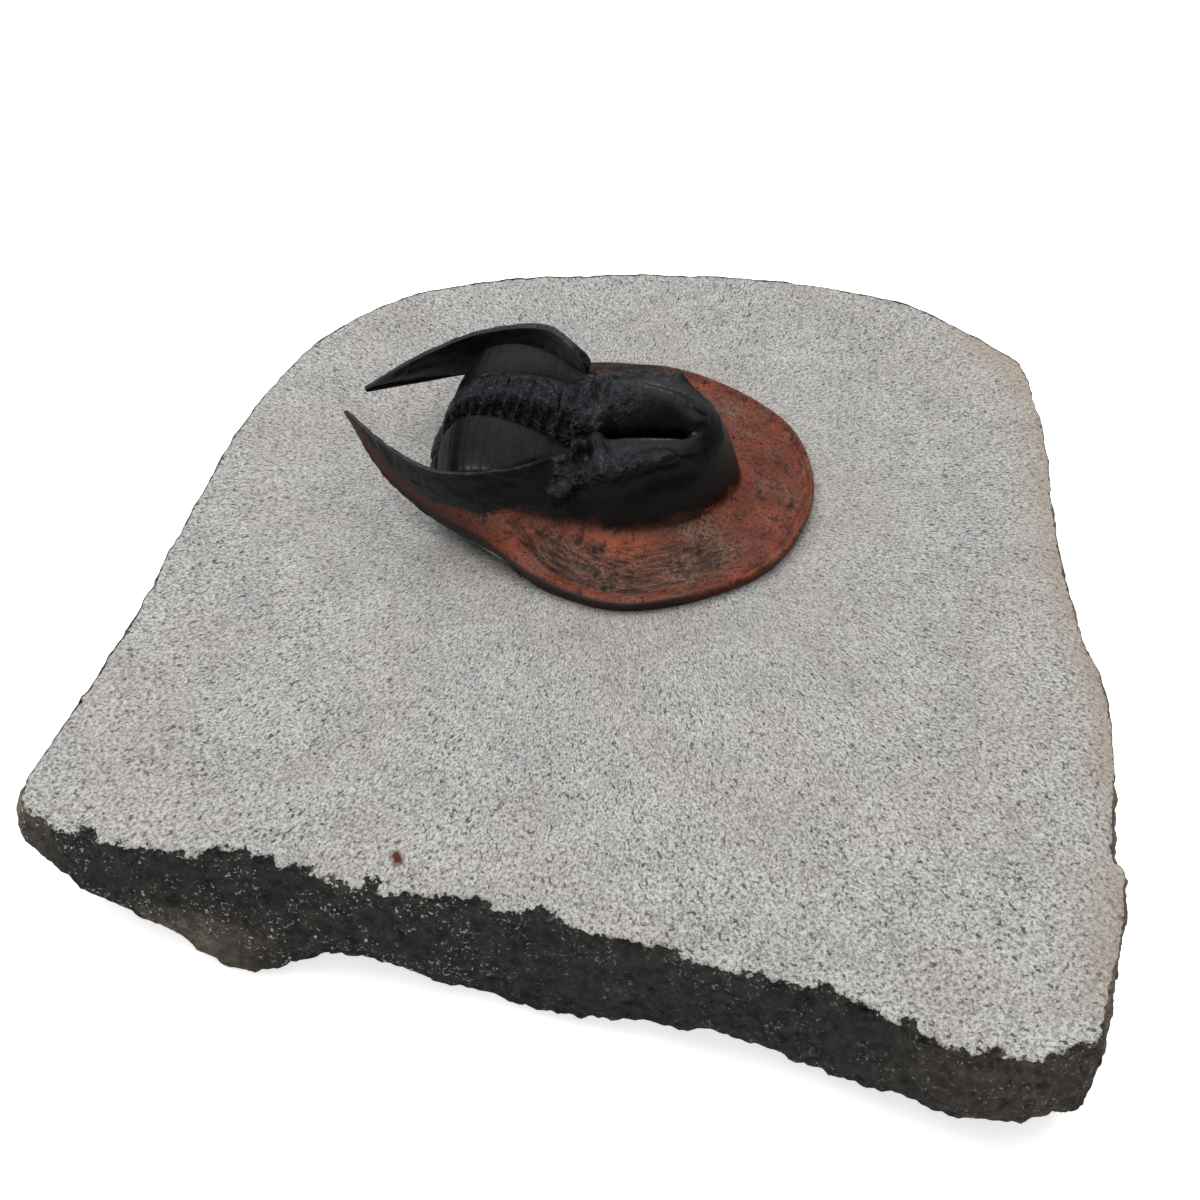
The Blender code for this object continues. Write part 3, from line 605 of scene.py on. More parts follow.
def stained_shell():
    """The head's calcite shell: black on the dome, stained by iron on the brim.

    The brim is brick-orange to grey-brown, its pits, pores and wrinkles darkened by painted
    shade and a patch under the near cheek lightened by painted light, and it is duller than
    the dome. The stain ends in a slightly ragged line.
    """
    material, put, place = new_finish("iron_stained_calcite_shell")
    black, black_roughness, black_normal = black_finish(put, place)
    grey, bright, crease, soot, around, across, wrinkled, inside_brim = (
        put("Attribute", {}, "Fac", attribute_name=label)
        for label in ("grey", "bright", "crease", "soot", "arc", "reach", "wrinkled", "brim")
    )

    # Two tones of rust in patches of 2 to 4 mm, darkened in grains of 0.2 mm
    large = patches(put, place, 3.6, 0.32, 0.66, detail=4.0)
    small = put("TexNoise", {"Vector": place, "Scale": 1.0 / 0.3, "Detail": 3.0,
                             "Roughness": 0.7}, "Fac")
    level = put("MapRange", {"Value": small, "From Min": 0.38, "From Max": 0.58})
    rust = put("Mix", {0: large, 6: "#6d301b", 7: "#8c4328"}, 2, data_type="RGBA")
    darker = put("Mix", {0: 0.75, 6: rust, 7: "#2a120c"}, 2, data_type="RGBA")
    rust = put("Mix", {0: level, 6: darker, 7: rust}, 2, data_type="RGBA")
    greyed = put("Mix", {0: level, 6: "#30211a", 7: "#7a5d4c"}, 2, data_type="RGBA")
    rust = put("Mix", {0: grey, 6: rust, 7: greyed}, 2, data_type="RGBA")

    # Dark flecks of about half a millimetre, where the stain is thick
    flecks = patches(put, place, 0.9, 0.53, 0.64, detail=4.0, strength=0.8)

    # Wrinkles about 0.4 mm apart that run round the brim, with painted shade along their troughs
    slow = put("Math", {0: around, 1: 0.16}, operation="MULTIPLY")
    spot = put("CombineXYZ", {"X": slow, "Y": across})
    folds = put("TexNoise", {"Vector": spot, "Scale": 1.0 / 0.42, "Detail": 3.0,
                             "Roughness": 0.6, "Distortion": 0.4}, "Fac")
    lines = put("MapRange", {"Value": folds, "From Min": 0.5, "From Max": 0.39})
    lines = put("Math", {0: lines, 1: wrinkled}, operation="MULTIPLY")

    # Pores of about 0.2 mm, in groups, sunk in the bump and darkened as painted shade
    pores = put("Math", {0: patches(put, place, 0.4, 0.66, 0.7, detail=1.0),
                         1: patches(put, place, 2.2, 0.45, 0.6)}, operation="MULTIPLY")
    # Tints over the rust: painted light; painted shade in creases, pits, groove, troughs and
    # pores; blackened stain with painted shade on the near rim's wall; dark flecks
    for share, tint in (
        (bright, "#a24f30"), (crease, "#130d0b"), (soot, "#1a1716"),
        (flecks, "#331a12"), (lines, "#3c281e"), (pores, "#120d0b"),
    ):
        rust = put("Mix", {0: share, 6: rust, 7: tint}, 2, data_type="RGBA")

    # The stain ends in a line that wanders by some tenths of a millimetre
    ragged = put("TexNoise", {"Vector": place, "Scale": 1.0 / 0.4, "Detail": 4.0,
                              "Roughness": 0.65}, "Fac")
    border = put("Math", {0: ragged, 1: 1.3, 2: inside_brim}, operation="MULTIPLY_ADD")
    stained = put("MapRange", {"Value": border, "From Min": 0.5, "From Max": 0.8})
    colour = put("Mix", {0: stained, 6: black, 7: rust}, 2, data_type="RGBA")
    dull = put("MapRange", {"Value": small, "From Min": 0.3, "From Max": 0.7,
                            "To Min": 0.44, "To Max": 0.72})
    roughness = put("Mix", {0: stained, 2: black_roughness, 3: dull}, data_type="FLOAT")
    pitted = put("Math", {0: small, 1: pores}, operation="SUBTRACT")
    folded = put("Math", {0: folds, 1: wrinkled}, operation="MULTIPLY")
    pitted = put("Math", {0: folded, 1: 2.5, 2: pitted}, operation="MULTIPLY_ADD")
    grainy = put("Bump", {"Height": pitted, "Distance": 0.2 * MM})
    normal = put("Mix", {0: stained, 4: black_normal, 5: grainy}, 1, data_type="VECTOR")
    close_finish(put, colour, roughness, normal, 1.52, 0.36)
    return material


# Slab

def slab_outline():
    """Evenly spaced points round the ground top, each with the side's depth below it."""
    ring = np.asarray(SLAB_CORNERS, float)
    wrapped = np.vstack((ring[-1:], ring, ring[:2]))
    u = np.linspace(0.0, 1.0, 40, endpoint=False)[:, None]
    dense = np.vstack([spline(*wrapped[i:i + 4], u) for i in range(len(ring))] + [ring[:1]])
    length = np.r_[0.0, np.cumsum(np.linalg.norm(np.diff(dense[:, :2], axis=0), axis=1))]
    wanted = np.linspace(0.0, length[-1], SLAB_COLUMNS, endpoint=False)
    return np.column_stack([np.interp(wanted, length, dense[:, k]) for k in range(3)])


def outward_of(outline, smooth):
    """Unit normals of the outline in plan, averaged over some columns each way."""
    run = np.roll(outline, -1, axis=0)[:, :2] - np.roll(outline, 1, axis=0)[:, :2]
    normals = np.column_stack((run[:, 1], -run[:, 0]))
    return unit(sum(np.roll(normals, k, axis=0) for k in range(-smooth, smooth + 1)))


def lumpiness(points, lift=0.0):
    """Unevenness of the broken rock, from -1 to 1, at each point."""
    spots = [Vector((x, y, 2.0 * z + lift)) for x, y, z in points]
    return np.array([
        rock_noise.noise(s / LUMP_SIZE) + CHIP_SHARE * rock_noise.noise(s / CHIP_SIZE)
        for s in spots
    ])


def side_ring(outline, normals, share):
    """Points of the broken side at a share of its depth."""
    steps, shares, lumps = zip(*SIDE_PROFILE)
    step, rough = np.interp(share, shares, steps), np.interp(share, shares, lumps)
    out = step * (1.0 - PLUMB_SIDE * np.maximum(0.0, normals[:, 0]))
    ledge = LEDGE_OUT * share ** 2 * bump(outline[:, 0] - LEDGE_X, LEDGE_REACH)
    out = out + np.where(normals[:, 1] < 0.0, ledge, 0.0)
    ring = np.column_stack((outline[:, :2] + normals * out[:, None], -outline[:, 2] * share))
    ring[:, :2] += normals * (rough * lumpiness(ring))[:, None]
    return ring


def under_ring(outline, step, share):
    """Points of the underside between the broken edge and the flat foot."""
    inward = unit(np.array(SLAB_MIDDLE) - outline[:, :2])
    ring = np.column_stack((outline[:, :2] - step * inward, np.zeros(len(outline))))
    lumpy = 1.0 + UNDER_LUMPS * lumpiness(ring, LUMP_SIZE)
    ring[:, 2] = (SLAB_HEIGHT - outline[:, 2]) * share * lumpy - SLAB_HEIGHT
    return ring


def fill(points, loop, spacing, height):
    """Triangles that fill a loop of points, with more points inside it in a staggered grid."""
    edge = [Vector(points[k][:2]) for k in loop]
    low, high = np.min(edge, axis=0), np.max(edge, axis=0)
    rows = np.arange(low[1], high[1], spacing * FILL_ROWS)
    inner = []
    for n, y in enumerate(rows):
        xs = np.arange(low[0] + spacing * 0.5 * (n % 2), high[0], spacing)
        inner += [(x, y) for x in xs]
    inner = np.array(inner) + CHANCE.uniform(-FILL_JITTER, FILL_JITTER, (len(inner), 2)) * spacing
    inner = inner[inside(np.array(edge), inner, FILL_MARGIN * spacing)]
    spots = edge + [Vector(p) for p in inner]
    made = geometry.delaunay_2d_cdt(spots, [], [list(range(len(edge)))], 1, 1e-5)
    numbers = [*loop, *range(len(points), len(points) + len(inner))]
    source = [group[0] for group in made[3]]
    points += [(x, y, height) for x, y in inner]
    return [tuple(numbers[source[k]] for k in face) for face in made[2]]


def inside(loop, spots, margin):
    """For each spot, whether it lies inside the loop and at least margin away from it."""
    x, y = spots[:, 0], spots[:, 1]
    within = np.zeros(len(spots), bool)
    nearest = np.full(len(spots), np.inf)
    for (ax, ay), (bx, by) in zip(loop, np.roll(loop, -1, axis=0)):
        crosses = (ay > y) != (by > y)
        with np.errstate(divide="ignore", invalid="ignore"):
            within ^= crosses & (x < (bx - ax) * (y - ay) / (by - ay) + ax)
        nearest = np.minimum(nearest, (x - ax) ** 2 + (y - ay) ** 2)
    return within & (nearest > margin ** 2)


def build_slab(material):
    """Slab: ground top with a chipped edge, broken sides, uneven underside, flat foot."""
    outline = slab_outline()
    normals = outward_of(outline, 6)
    wide = outward_of(outline, 14)
    flat = outline * (1.0, 1.0, 0.0)
    ragged = unevenness(flat, RAGGED_EDGE, 1)
    facing = ease(-wide[:, 1] + 0.25 * np.maximum(wide[:, 0], 0.0), 0.45, 0.8)
    ragged *= 0.4 + 0.6 * facing

    # Rings of points from inside the top's edge outward, down the broken side and under it
    rings, depths = [], []
    for k in range(EDGE_RINGS, 0, -1):
        inward = EDGE_BAND * (k / EDGE_RINGS) ** 1.3
        shift = ragged * (1.0 - k / EDGE_RINGS) ** 2
        plan = outline[:, :2] - wide * inward + normals * shift[:, None]
        rings.append(np.column_stack((plan, np.zeros(SLAB_COLUMNS))))
        depths.append(np.full(SLAB_COLUMNS, inward))
    for share in np.linspace(0.0, 1.0, SIDE_RINGS) ** 1.25:
        ring = side_ring(outline, normals, share)
        ring[:, :2] += normals * (ragged * max(0.0, 1.0 - 5.0 * share))[:, None]
        rings.append(ring)
        depths.append(-outline[:, 2] * share)
    last_step, last_share = UNDER_PROFILE[-1]
    for k in range(1, UNDER_RINGS + 1):
        place = k / UNDER_RINGS * (len(UNDER_PROFILE) - 1)
        step, share = along(UNDER_PROFILE, place)[0]
        rings.append(under_ring(outline, max(step, last_step), max(share, last_share)))
        depths.append(np.full(SLAB_COLUMNS, -SLAB_HEIGHT))

    # Faces between the rings, and the ground top and the flat foot inside them
    points = [tuple(p) for ring in rings for p in ring]
    rows = [k * SLAB_COLUMNS for k in range(len(rings))]
    faces = strips(rows, SLAB_COLUMNS, closed=True)
    foot = range(rows[-1], rows[-1] + SLAB_COLUMNS)
    for loop, spacing, height, depth in (
        (range(SLAB_COLUMNS), TOP_SPACING, 0.0, EDGE_BAND),
        (foot, FOOT_SPACING, -SLAB_HEIGHT, -SLAB_HEIGHT),
    ):
        before = len(points)
        faces += fill(points, loop, spacing, height)
        depths.append(np.full(len(points) - before, depth))
    front = np.zeros(len(points))
    front[:len(rings) * SLAB_COLUMNS] = np.tile(facing, len(rings))
    marks = {"inside": np.concatenate(depths), "front": front}
    piece = new_piece("limestone_slab", points, faces, material, "matrix_slab", marks)
    carve_slab(piece)
    colour_slab(piece)


def carve_slab(piece):
    """Chips at the top's edge, waviness of the ground face and roughness of the broken rock."""
    spots = places_of(piece)
    depth = mark_of(piece, "inside")
    front = mark_of(piece, "front")
    on_top = depth > 0.0

    # The ground face: chips along its edge, sunk and rounded on the +X side, and flat waves
    chips = unevenness(spots, EDGE_CHIPS, 5)
    level = depth - 0.1 - 0.3 * front - (0.1 + 0.9 * front) * np.maximum(0.45 + 0.9 * chips, 0.0)
    rounding = ROUNDED_EDGE * ease(spots[:, 0], 30.0, 42.0) * (1.0 - front)
    sink = np.clip(0.8 * level, -DEEPEST_CHIP, 0.0) - rounding * (1.0 - depth / EDGE_BAND) ** 2
    sink = np.where(on_top, sink, -rounding)
    near_fossil = 1.0 - ease(np.hypot(spots[:, 0] + 3.0, spots[:, 1]), 24.0, 30.0)
    wave = unevenness(spots, GROUND_WAVES, 8) * (1.0 - 0.8 * near_fossil)
    lift = np.where(on_top, sink + wave - GROUND_OFF, sink * ease(-depth, 2.0, 0.0))

    # The broken rock: facets and grains, and nothing below the flat foot
    below = ease(-depth, 0.0, 1.6)
    facets = sum(
        height * np.abs(noise(spots, size, seed))
        for (height, size), seed in ((FACETS, 11), (SMALL_FACETS, 12))
    )
    grains = unevenness(spots, BROKEN_GRAINS, 13)
    flat_foot = (depth <= -SLAB_HEIGHT) & (spots[:, 2] < -SLAB_HEIGHT + 0.05)
    heights = np.where(on_top, 0.0, below * (facets - 0.3 + grains))
    heights = np.where(flat_foot, np.minimum(heights, 0.0) * 0.5, heights)
    steps = normals_of(piece) * heights[:, None]
    steps[:, 2] += lift
    steps[:, 2] += np.maximum(-SLAB_HEIGHT - (spots + steps)[:, 2], 0.0)
    move(piece, steps)
    border = np.where(on_top, np.minimum(level, EDGE_BAND) + 0.15, depth - 0.7)
    set_marks(piece, NO_LIMITS, inside=border)


def colour_slab(piece):
    """Marks for the weathered breaks, the brown tint by the fossil (dusty stain and painted
    shade), calcite and rust fleck.
    """
    spots = places_of(piece)
    x, y, z = spots.T
    depth = mark_of(piece, "inside")
    old_side = 1.0 - mark_of(piece, "front")
    dust = stains(x, y, DUST) * (0.7 + 0.6 * noise(spots, 2.0, 21))
    edge = np.interp(y, RIGHT_EDGE_Y, RIGHT_EDGE_X)
    band = 0.55 * ease(x - edge, -5.0, 0.5) * ease(y, -66.0, -58.0)
    patchy = 0.75 + 0.35 * noise(spots, 5.0, 22)
    side = old_side * (0.75 + 0.4 * noise(spots, 3.0, 23))
    lump = 0.5 * bump(x + 34.0, 6.0) * ease(-z, 6.5, 9.0)
    corner = 0.25 * ease(-x, 46.0, 50.0) + 0.2 * ease(x, 30.0, 50.0)
    side = np.maximum(side, np.maximum(lump, corner))
    x_off, y_off = x - RUST_FLECK_AT[0], y - RUST_FLECK_AT[1]
    fleck = bump(np.hypot(x_off, y_off * 0.8 + 0.3 * x_off), RUST_FLECK_REACH)
    set_marks(
        piece, dust=dust, weathering=np.where(depth > 0.0, band * patchy, side),
        calcite=0.35 + 0.65 * ease(-x, -2.0, 14.0), rust=ease(fleck, 0.35, 0.6),
    )


# Head shield

def zones(counts):
    """Numbers along a cross-section: each part of it runs on by one."""
    runs = [k + np.linspace(0.0, 1.0, count, endpoint=False) for k, count in enumerate(counts)]
    return np.concatenate(runs)


def smooth_across(sections, rounds):
    """Rounds the corners of each cross-section, except at its two ends."""
    for _ in range(rounds):
        middle = 0.25 * sections[:, :-2] + 0.5 * sections[:, 1:-1] + 0.25 * sections[:, 2:]
        sections[:, 1:-1] = middle
    return sections


def outer_half(guides, t, lowest):
    """Cross-sections from the foot up the rim, over the brim and up the cheek to its top."""
    rim, inner_edge, top = (along(guide, t, mirrored=True)[:, None] for guide in guides)
    across = inner_edge - rim
    inward = unit(across[..., :2])
    share = np.linspace(0.0, 1.0, WALL_POINTS, endpoint=False)
    wall = np.repeat(rim, WALL_POINTS, axis=1)
    wall[..., :2] += inward * (FOOT_UNDERCUT * (1.0 - share) ** 1.6)[None, :, None]
    wall[..., 2] = lowest[:, None] + (rim[..., 2] - lowest[:, None]) * share
    share = np.linspace(0.0, 1.0, BRIM_POINTS) ** 1.25
    brim = rim + across * share[None, :, None]
    brim[..., 2] = rim[..., 2] + across[..., 2] * share ** along(BRIM_DISH, t)
    share = np.linspace(0.0, 1.0, CHEEK_POINTS + 1)[1:] ** 1.2
    cheek = inner_edge + (top - inner_edge) * share[None, :, None]
    climb = 1.0 - (1.0 - share) ** along(CHEEK_BULGE, t)
    cheek[..., 2] = inner_edge[..., 2] + (top - inner_edge)[..., 2] * climb
    return np.concatenate((wall, brim, cheek), axis=1)


def inner_half(cheek_top, t):
    """Cross-sections from the cheek's top over the furrow to the glabella's crest."""
    guides = (cheek_top, INNER_RIDGE, AXIAL_FURROW)
    top, ridge, furrow = (along(guide, t, mirrored=True)[:, None] for guide in guides)
    crest = along(GLABELLA_CREST, t)[:, None]
    parts = []
    for start, end, count in ((top, ridge, TOP_POINTS), (ridge, furrow, DROP_POINTS)):
        share = np.linspace(0.0, 1.0, count + 1)[1:]
        parts.append(start + (end - start) * share[None, :, None])
    share = np.linspace(0.0, 1.0, GLABELLA_POINTS + 1)[1:] ** 1.5
    dome = furrow + (crest - furrow) * share[None, :, None]
    dome[..., 2] = furrow[..., 2] + (crest - furrow)[..., 2] * np.sqrt(1.0 - (1.0 - share) ** 2)
    return np.concatenate(parts + [dome], axis=1)


def head_relief(sections, dip):
    """Height that the eyes, the occipital ring and the lobes of the cheeks add to the head."""
    x, y = sections[..., 0], np.abs(sections[..., 1])
    eye = EYE_HEIGHT * bump(np.hypot(x - EYE_AT[0], y - EYE_AT[1]), EYE_REACH)
    eye = eye * np.where(sections[..., 1] < 0.0, RIGHT_EYE_SHARE, 1.0)
    ring = OCCIPITAL_RING_HEIGHT * bump(x - OCCIPITAL_RING_X, OCCIPITAL_RING_REACH)
    furrow = OCCIPITAL_FURROW_DEPTH * bump(x - OCCIPITAL_FURROW_X, OCCIPITAL_FURROW_REACH)
    outer_cheek = ease(y, 5.0, 6.6) * ease(sections[..., 2], 4.0, 9.0)
    saddle = SADDLE_DEPTH * bump(x - SADDLE_X, SADDLE_REACH)
    saddle += dip * bump(x - LEFT_DIP_X, LEFT_DIP_REACH) * ease(x, -6.5, -4.5)
    closure = FURROW_CLOSURE * bump(x + 2.6, 0.9) * bump(y - 3.6, 1.3)
    relief = eye + closure - outer_cheek * saddle + bump(y, GLABELLA_HALF_WIDTH) * (ring - furrow)
    return np.where(np.arange(sections.shape[1]) > WALL_POINTS + BRIM_POINTS, relief, 0.0)


def blade_inner_face(outer, t, t_end):
    """The blade's inner face, from its top edge down, a wall's thickness behind the outer."""
    normal = np.cross(np.gradient(outer, axis=0), np.gradient(outer, axis=1))
    normal /= np.linalg.norm(normal, axis=2)[..., None] + TINY
    normal *= np.where(normal[..., 2] + 0.5 * normal[..., 1] > 0.0, -1.0, 1.0)[..., None]
    share = ((t - HEAD_KEYS) / (t_end - HEAD_KEYS))[:, None, None]
    thickness = BLADE_THICKNESS + (BLADE_THICKNESS_AT_TIP - BLADE_THICKNESS) * share
    height = np.linspace(0.0, 1.0, outer.shape[1])[None, :, None]
    thickness = thickness * (0.3 + 0.7 * ease(height, 0.0, 0.5))
    picks = np.linspace(outer.shape[1] - 1, 0, INNER_FACE_POINTS).round().astype(int)
    face = (outer + normal * thickness)[:, picks]
    face[..., 2] = np.maximum(face[..., 2], outer[:, :1, 2] + 0.02)
    limit = REAR_MARGIN - 0.02 * np.arange(len(t))[:, None]
    face[..., 0] = np.minimum(face[..., 0], limit)
    face[0, :, 0] = REAR_MARGIN
    face[0, :, 2] = np.maximum(face[0, :, 2], -SUNK)
    return face


def half_of_head(tip, spread, cheek, dip):
    """Cross-sections of one half: those of the head, then those of its blade."""
    guides = []
    for guide in (RIM, BRIM_INNER_EDGE, (*CHEEK_FRONT, *cheek, *CHEEK_REAR)):
        blade = [(x, y + out, z) for (x, y, z), out in zip(guide[HEAD_KEYS:], spread)]
        guides.append((*guide[:HEAD_KEYS], *blade, tip))
    t_end = len(RIM)
    t = np.linspace(0.0, HEAD_KEYS, ROWS_ON_HEAD + 1)
    outer = outer_half(guides, t, np.full(len(t), -SUNK))
    head = np.concatenate((outer, inner_half(guides[2], t)), axis=1)
    head[..., 2] += head_relief(head, dip)
    t = np.linspace(HEAD_KEYS, t_end - BLADE_SHORT, ROWS_ON_BLADE + 1)
    rim_z = along(guides[0], t)[:, 2]
    hang = BLADE_HANG + (rim_z + SUNK - BLADE_HANG) * (1.0 - ease(t, HEAD_KEYS, HEAD_KEYS + 0.9))
    outer = outer_half(guides, t, rim_z - hang)
    outer[..., 2] += head_relief(outer, dip)
    outer = smooth_across(outer, SMOOTHING_ROUNDS)
    blade = np.concatenate((outer, blade_inner_face(outer, t, t_end)), axis=1)
    head = smooth_across(head, SMOOTHING_ROUNDS)
    count = outer.shape[1]
    head[-1, :count] = blade[0, :count]
    return head, blade


def build_head(material):
    """Head shield with its brim, glabella, eyes, occipital ring and two genal blades."""
    head_zones = zones((WALL_POINTS, BRIM_POINTS, CHEEK_POINTS, TOP_POINTS, DROP_POINTS,
                        GLABELLA_POINTS))
    outer_count = WALL_POINTS + BRIM_POINTS + CHEEK_POINTS
    inner_face = np.full(INNER_FACE_POINTS, INNER_FACE_ZONE)
    blade_zones = np.concatenate((head_zones[:outer_count], inner_face))
    points, faces, zone = [], [], []
    margins, floors = [], []
    halves = (
        (1.0, (LEFT_TIP, LEFT_BLADE_SPREAD, LEFT_CHEEK, LEFT_DIP)),
        (-1.0, (RIGHT_TIP, RIGHT_BLADE_SPREAD, RIGHT_CHEEK, 0.0)),
    )
    for side, form in halves:
        head, blade = half_of_head(*form)
        rows = []
        for sections, numbers in ((head, head_zones), (blade, blade_zones)):
            width = sections.shape[1]
            rows.append([len(points) + k * width for k in range(len(sections))])
            points += (sections * (1.0, side, 1.0)).reshape(-1, 3).tolist()
            zone += numbers.tolist() * len(sections)
        head_width, blade_width = head.shape[1], blade.shape[1]
        faces += strips(rows[0], head_width)
        faces += strips(rows[1], blade_width, closed=True)
        faces.append(tuple(range(rows[1][-1], rows[1][-1] + blade_width)))
        margin = [rows[0][-1] + k for k in range(head_width - 1, outer_count - 2, -1)]
        margin += [rows[1][0] + k for k in range(outer_count, blade_width)]
        margins.append(margin + [rows[0][-1]])
        floors.append(rows[0])
    faces.append(tuple(margins[0] + margins[1][:0:-1]))
    faces.append(tuple(floors[0][::-1] + floors[1][1:]))
    piece = new_piece("head_shield", points, faces, material, "cephalon",
                      {"zone": zone})
    carve_head(piece)


def distance_to(line, spots):
    """Distance of each spot from the nearest point of a line, in mm."""
    nearest = np.full(len(spots), np.inf)
    for point in line:
        nearest = np.minimum(nearest, np.linalg.norm(spots - point, axis=1))
    return nearest


def rim_distance(spots):
    """Distance in plan from the rim line, in mm."""
    line = along(RIM, np.linspace(0.0, len(RIM) - 1, RIM_SAMPLES), mirrored=True)
    return distance_to(line[:, :2], np.column_stack((spots[:, 0], np.abs(spots[:, 1]))))


def near_line(spots, corners, reach, side=1.0):
    """1 on a line through the corners, falling to 0 beyond reach; side is -1 on the right."""
    places = np.linspace(0.0, len(corners) - 1, LINE_SAMPLES)
    line = along(np.multiply(corners, (1.0, side, 1.0)), places)
    return bump(distance_to(line, spots), reach)


def carve_head(piece):
    """Lip, groove, wrinkles and pits of the brim; brow, hollows and rough rear of the cheeks."""
    spots = places_of(piece)
    x, y, z = spots.T
    zone = mark_of(piece, "zone")
    reach = rim_distance(spots)

    # A lip along the rim with a groove behind it; on the right both lie further in
    on_brim = ease(zone, 0.9, 1.05) * ease(2.05 - zone, 0.0, 0.1)
    fade = ease(x, -16.0, -6.0)
    near = ease(-y, 9.0, 13.0) * ease(9.0 - x, 0.0, 6.0)
    lip_at = LIP_AT + 0.45 * near
    lip = LIP_HEIGHT * bump(reach - lip_at, LIP_REACH + 0.4 * near)
    groove = GROOVE_DEPTH * bump(reach - lip_at - GROOVE_BEHIND_LIP - 0.4 * near, GROOVE_REACH)
    heights = on_brim * fade * (lip - groove)

    # Wrinkles run round the brim, most of them on its right side
    arc = BRIM_RADIUS * np.arctan2(y, x - BRIM_MIDDLE_X)
    round_brim = np.column_stack((0.17 * arc, reach, 0.3 * z))
    lamellae = 1.0 - 2.0 * np.abs(layered_noise(round_brim, WRINKLE_SIZE, 2, 43))
    wrinkled = ease(-y, 8.6, 10.6) * ease(x, -13.0, -8.0) * ease(14.5 - x, 0.0, 4.0)
    wrinkled = np.clip(wrinkled + WRINKLED_EVERYWHERE, 0.0, 1.0) * ease(reach, 1.3, 2.3)
    wrinkled *= on_brim * ease(1.96 - zone, 0.0, 0.25)
    swell = unevenness(spots, BRIM_SWELL, 41)
    pits = ease(noise(spots * (1.0, 0.6, 1.0), PIT_SIZE, 44), 0.42, 0.7)
    pits *= ease(noise(spots, 4.0, 40), -0.1, 0.3)
    wrinkles = WRINKLE_HEIGHT * wrinkled * (lamellae - 0.4)
    heights += wrinkles + on_brim * ease(reach, 0.8, 1.6) * (swell - BRIM_PIT_DEPTH * pits)

    # Brow below the eyes, with a hollow under it, and the rough rear of the cheeks
    rear = ease(6.6 - x, 0.0, 4.0) * ease(x, -8.5, -6.5)
    rough = np.zeros(len(spots))
    for side, brow_height in ((1.0, LEFT_BROW_HEIGHT), (-1.0, RIGHT_BROW_HEIGHT)):
        heights += brow_height * near_line(spots, BROW, BROW_REACH, side)
        rough += ROUGH_BROW * rear * near_line(spots, BROW, ROUGH_BROW_REACH, side)
        for corners, width, height, roughness in CHEEK_RELIEF:
            line = near_line(spots, corners, width, side)
            heights += height * line
            rough += roughness * line
    heights += CREST_HEIGHT * near_line(spots, CREST_LINE, CREST_REACH)

    # Crumbly skin on them, on the occipital ring and the glabella's rear; faint lumps elsewhere
    occipital = bump(y, 3.2) * bump(x + 3.6, 1.8)
    saddle = 0.75 * bump(y + 0.8, 2.4) * bump(x + 0.4, 2.4)
    rough += (zone > 3.0) * np.maximum(0.85 * occipital, saddle)
    rough += 0.7 * (zone > 2.6) * ease(-x, 3.2, 4.4) * ease(x, -7.0, -5.5)
    rough = np.clip(rough, 0.0, 1.0) * (zone > 2.0)
    heights += rough * CRUMB_HEIGHT * layered_noise(spots, CRUMB_SIZE, 4, 45)
    lumps = unevenness(spots, HEAD_LUMPS, 47)
    lumps += ease(-x, 5.5, 8.0) * unevenness(spots, BLADE_LUMPS, 49)
    heights += (1.0 - on_brim) * lumps
    heights *= ease(zone, 0.4, 1.0)
    colour_head(piece, spots, zone, reach, heights, wrinkled, pits * on_brim, rough)
    set_marks(piece, NO_LIMITS, reach=reach, arc=arc, wrinkled=wrinkled)
    raise_relief(piece, heights)


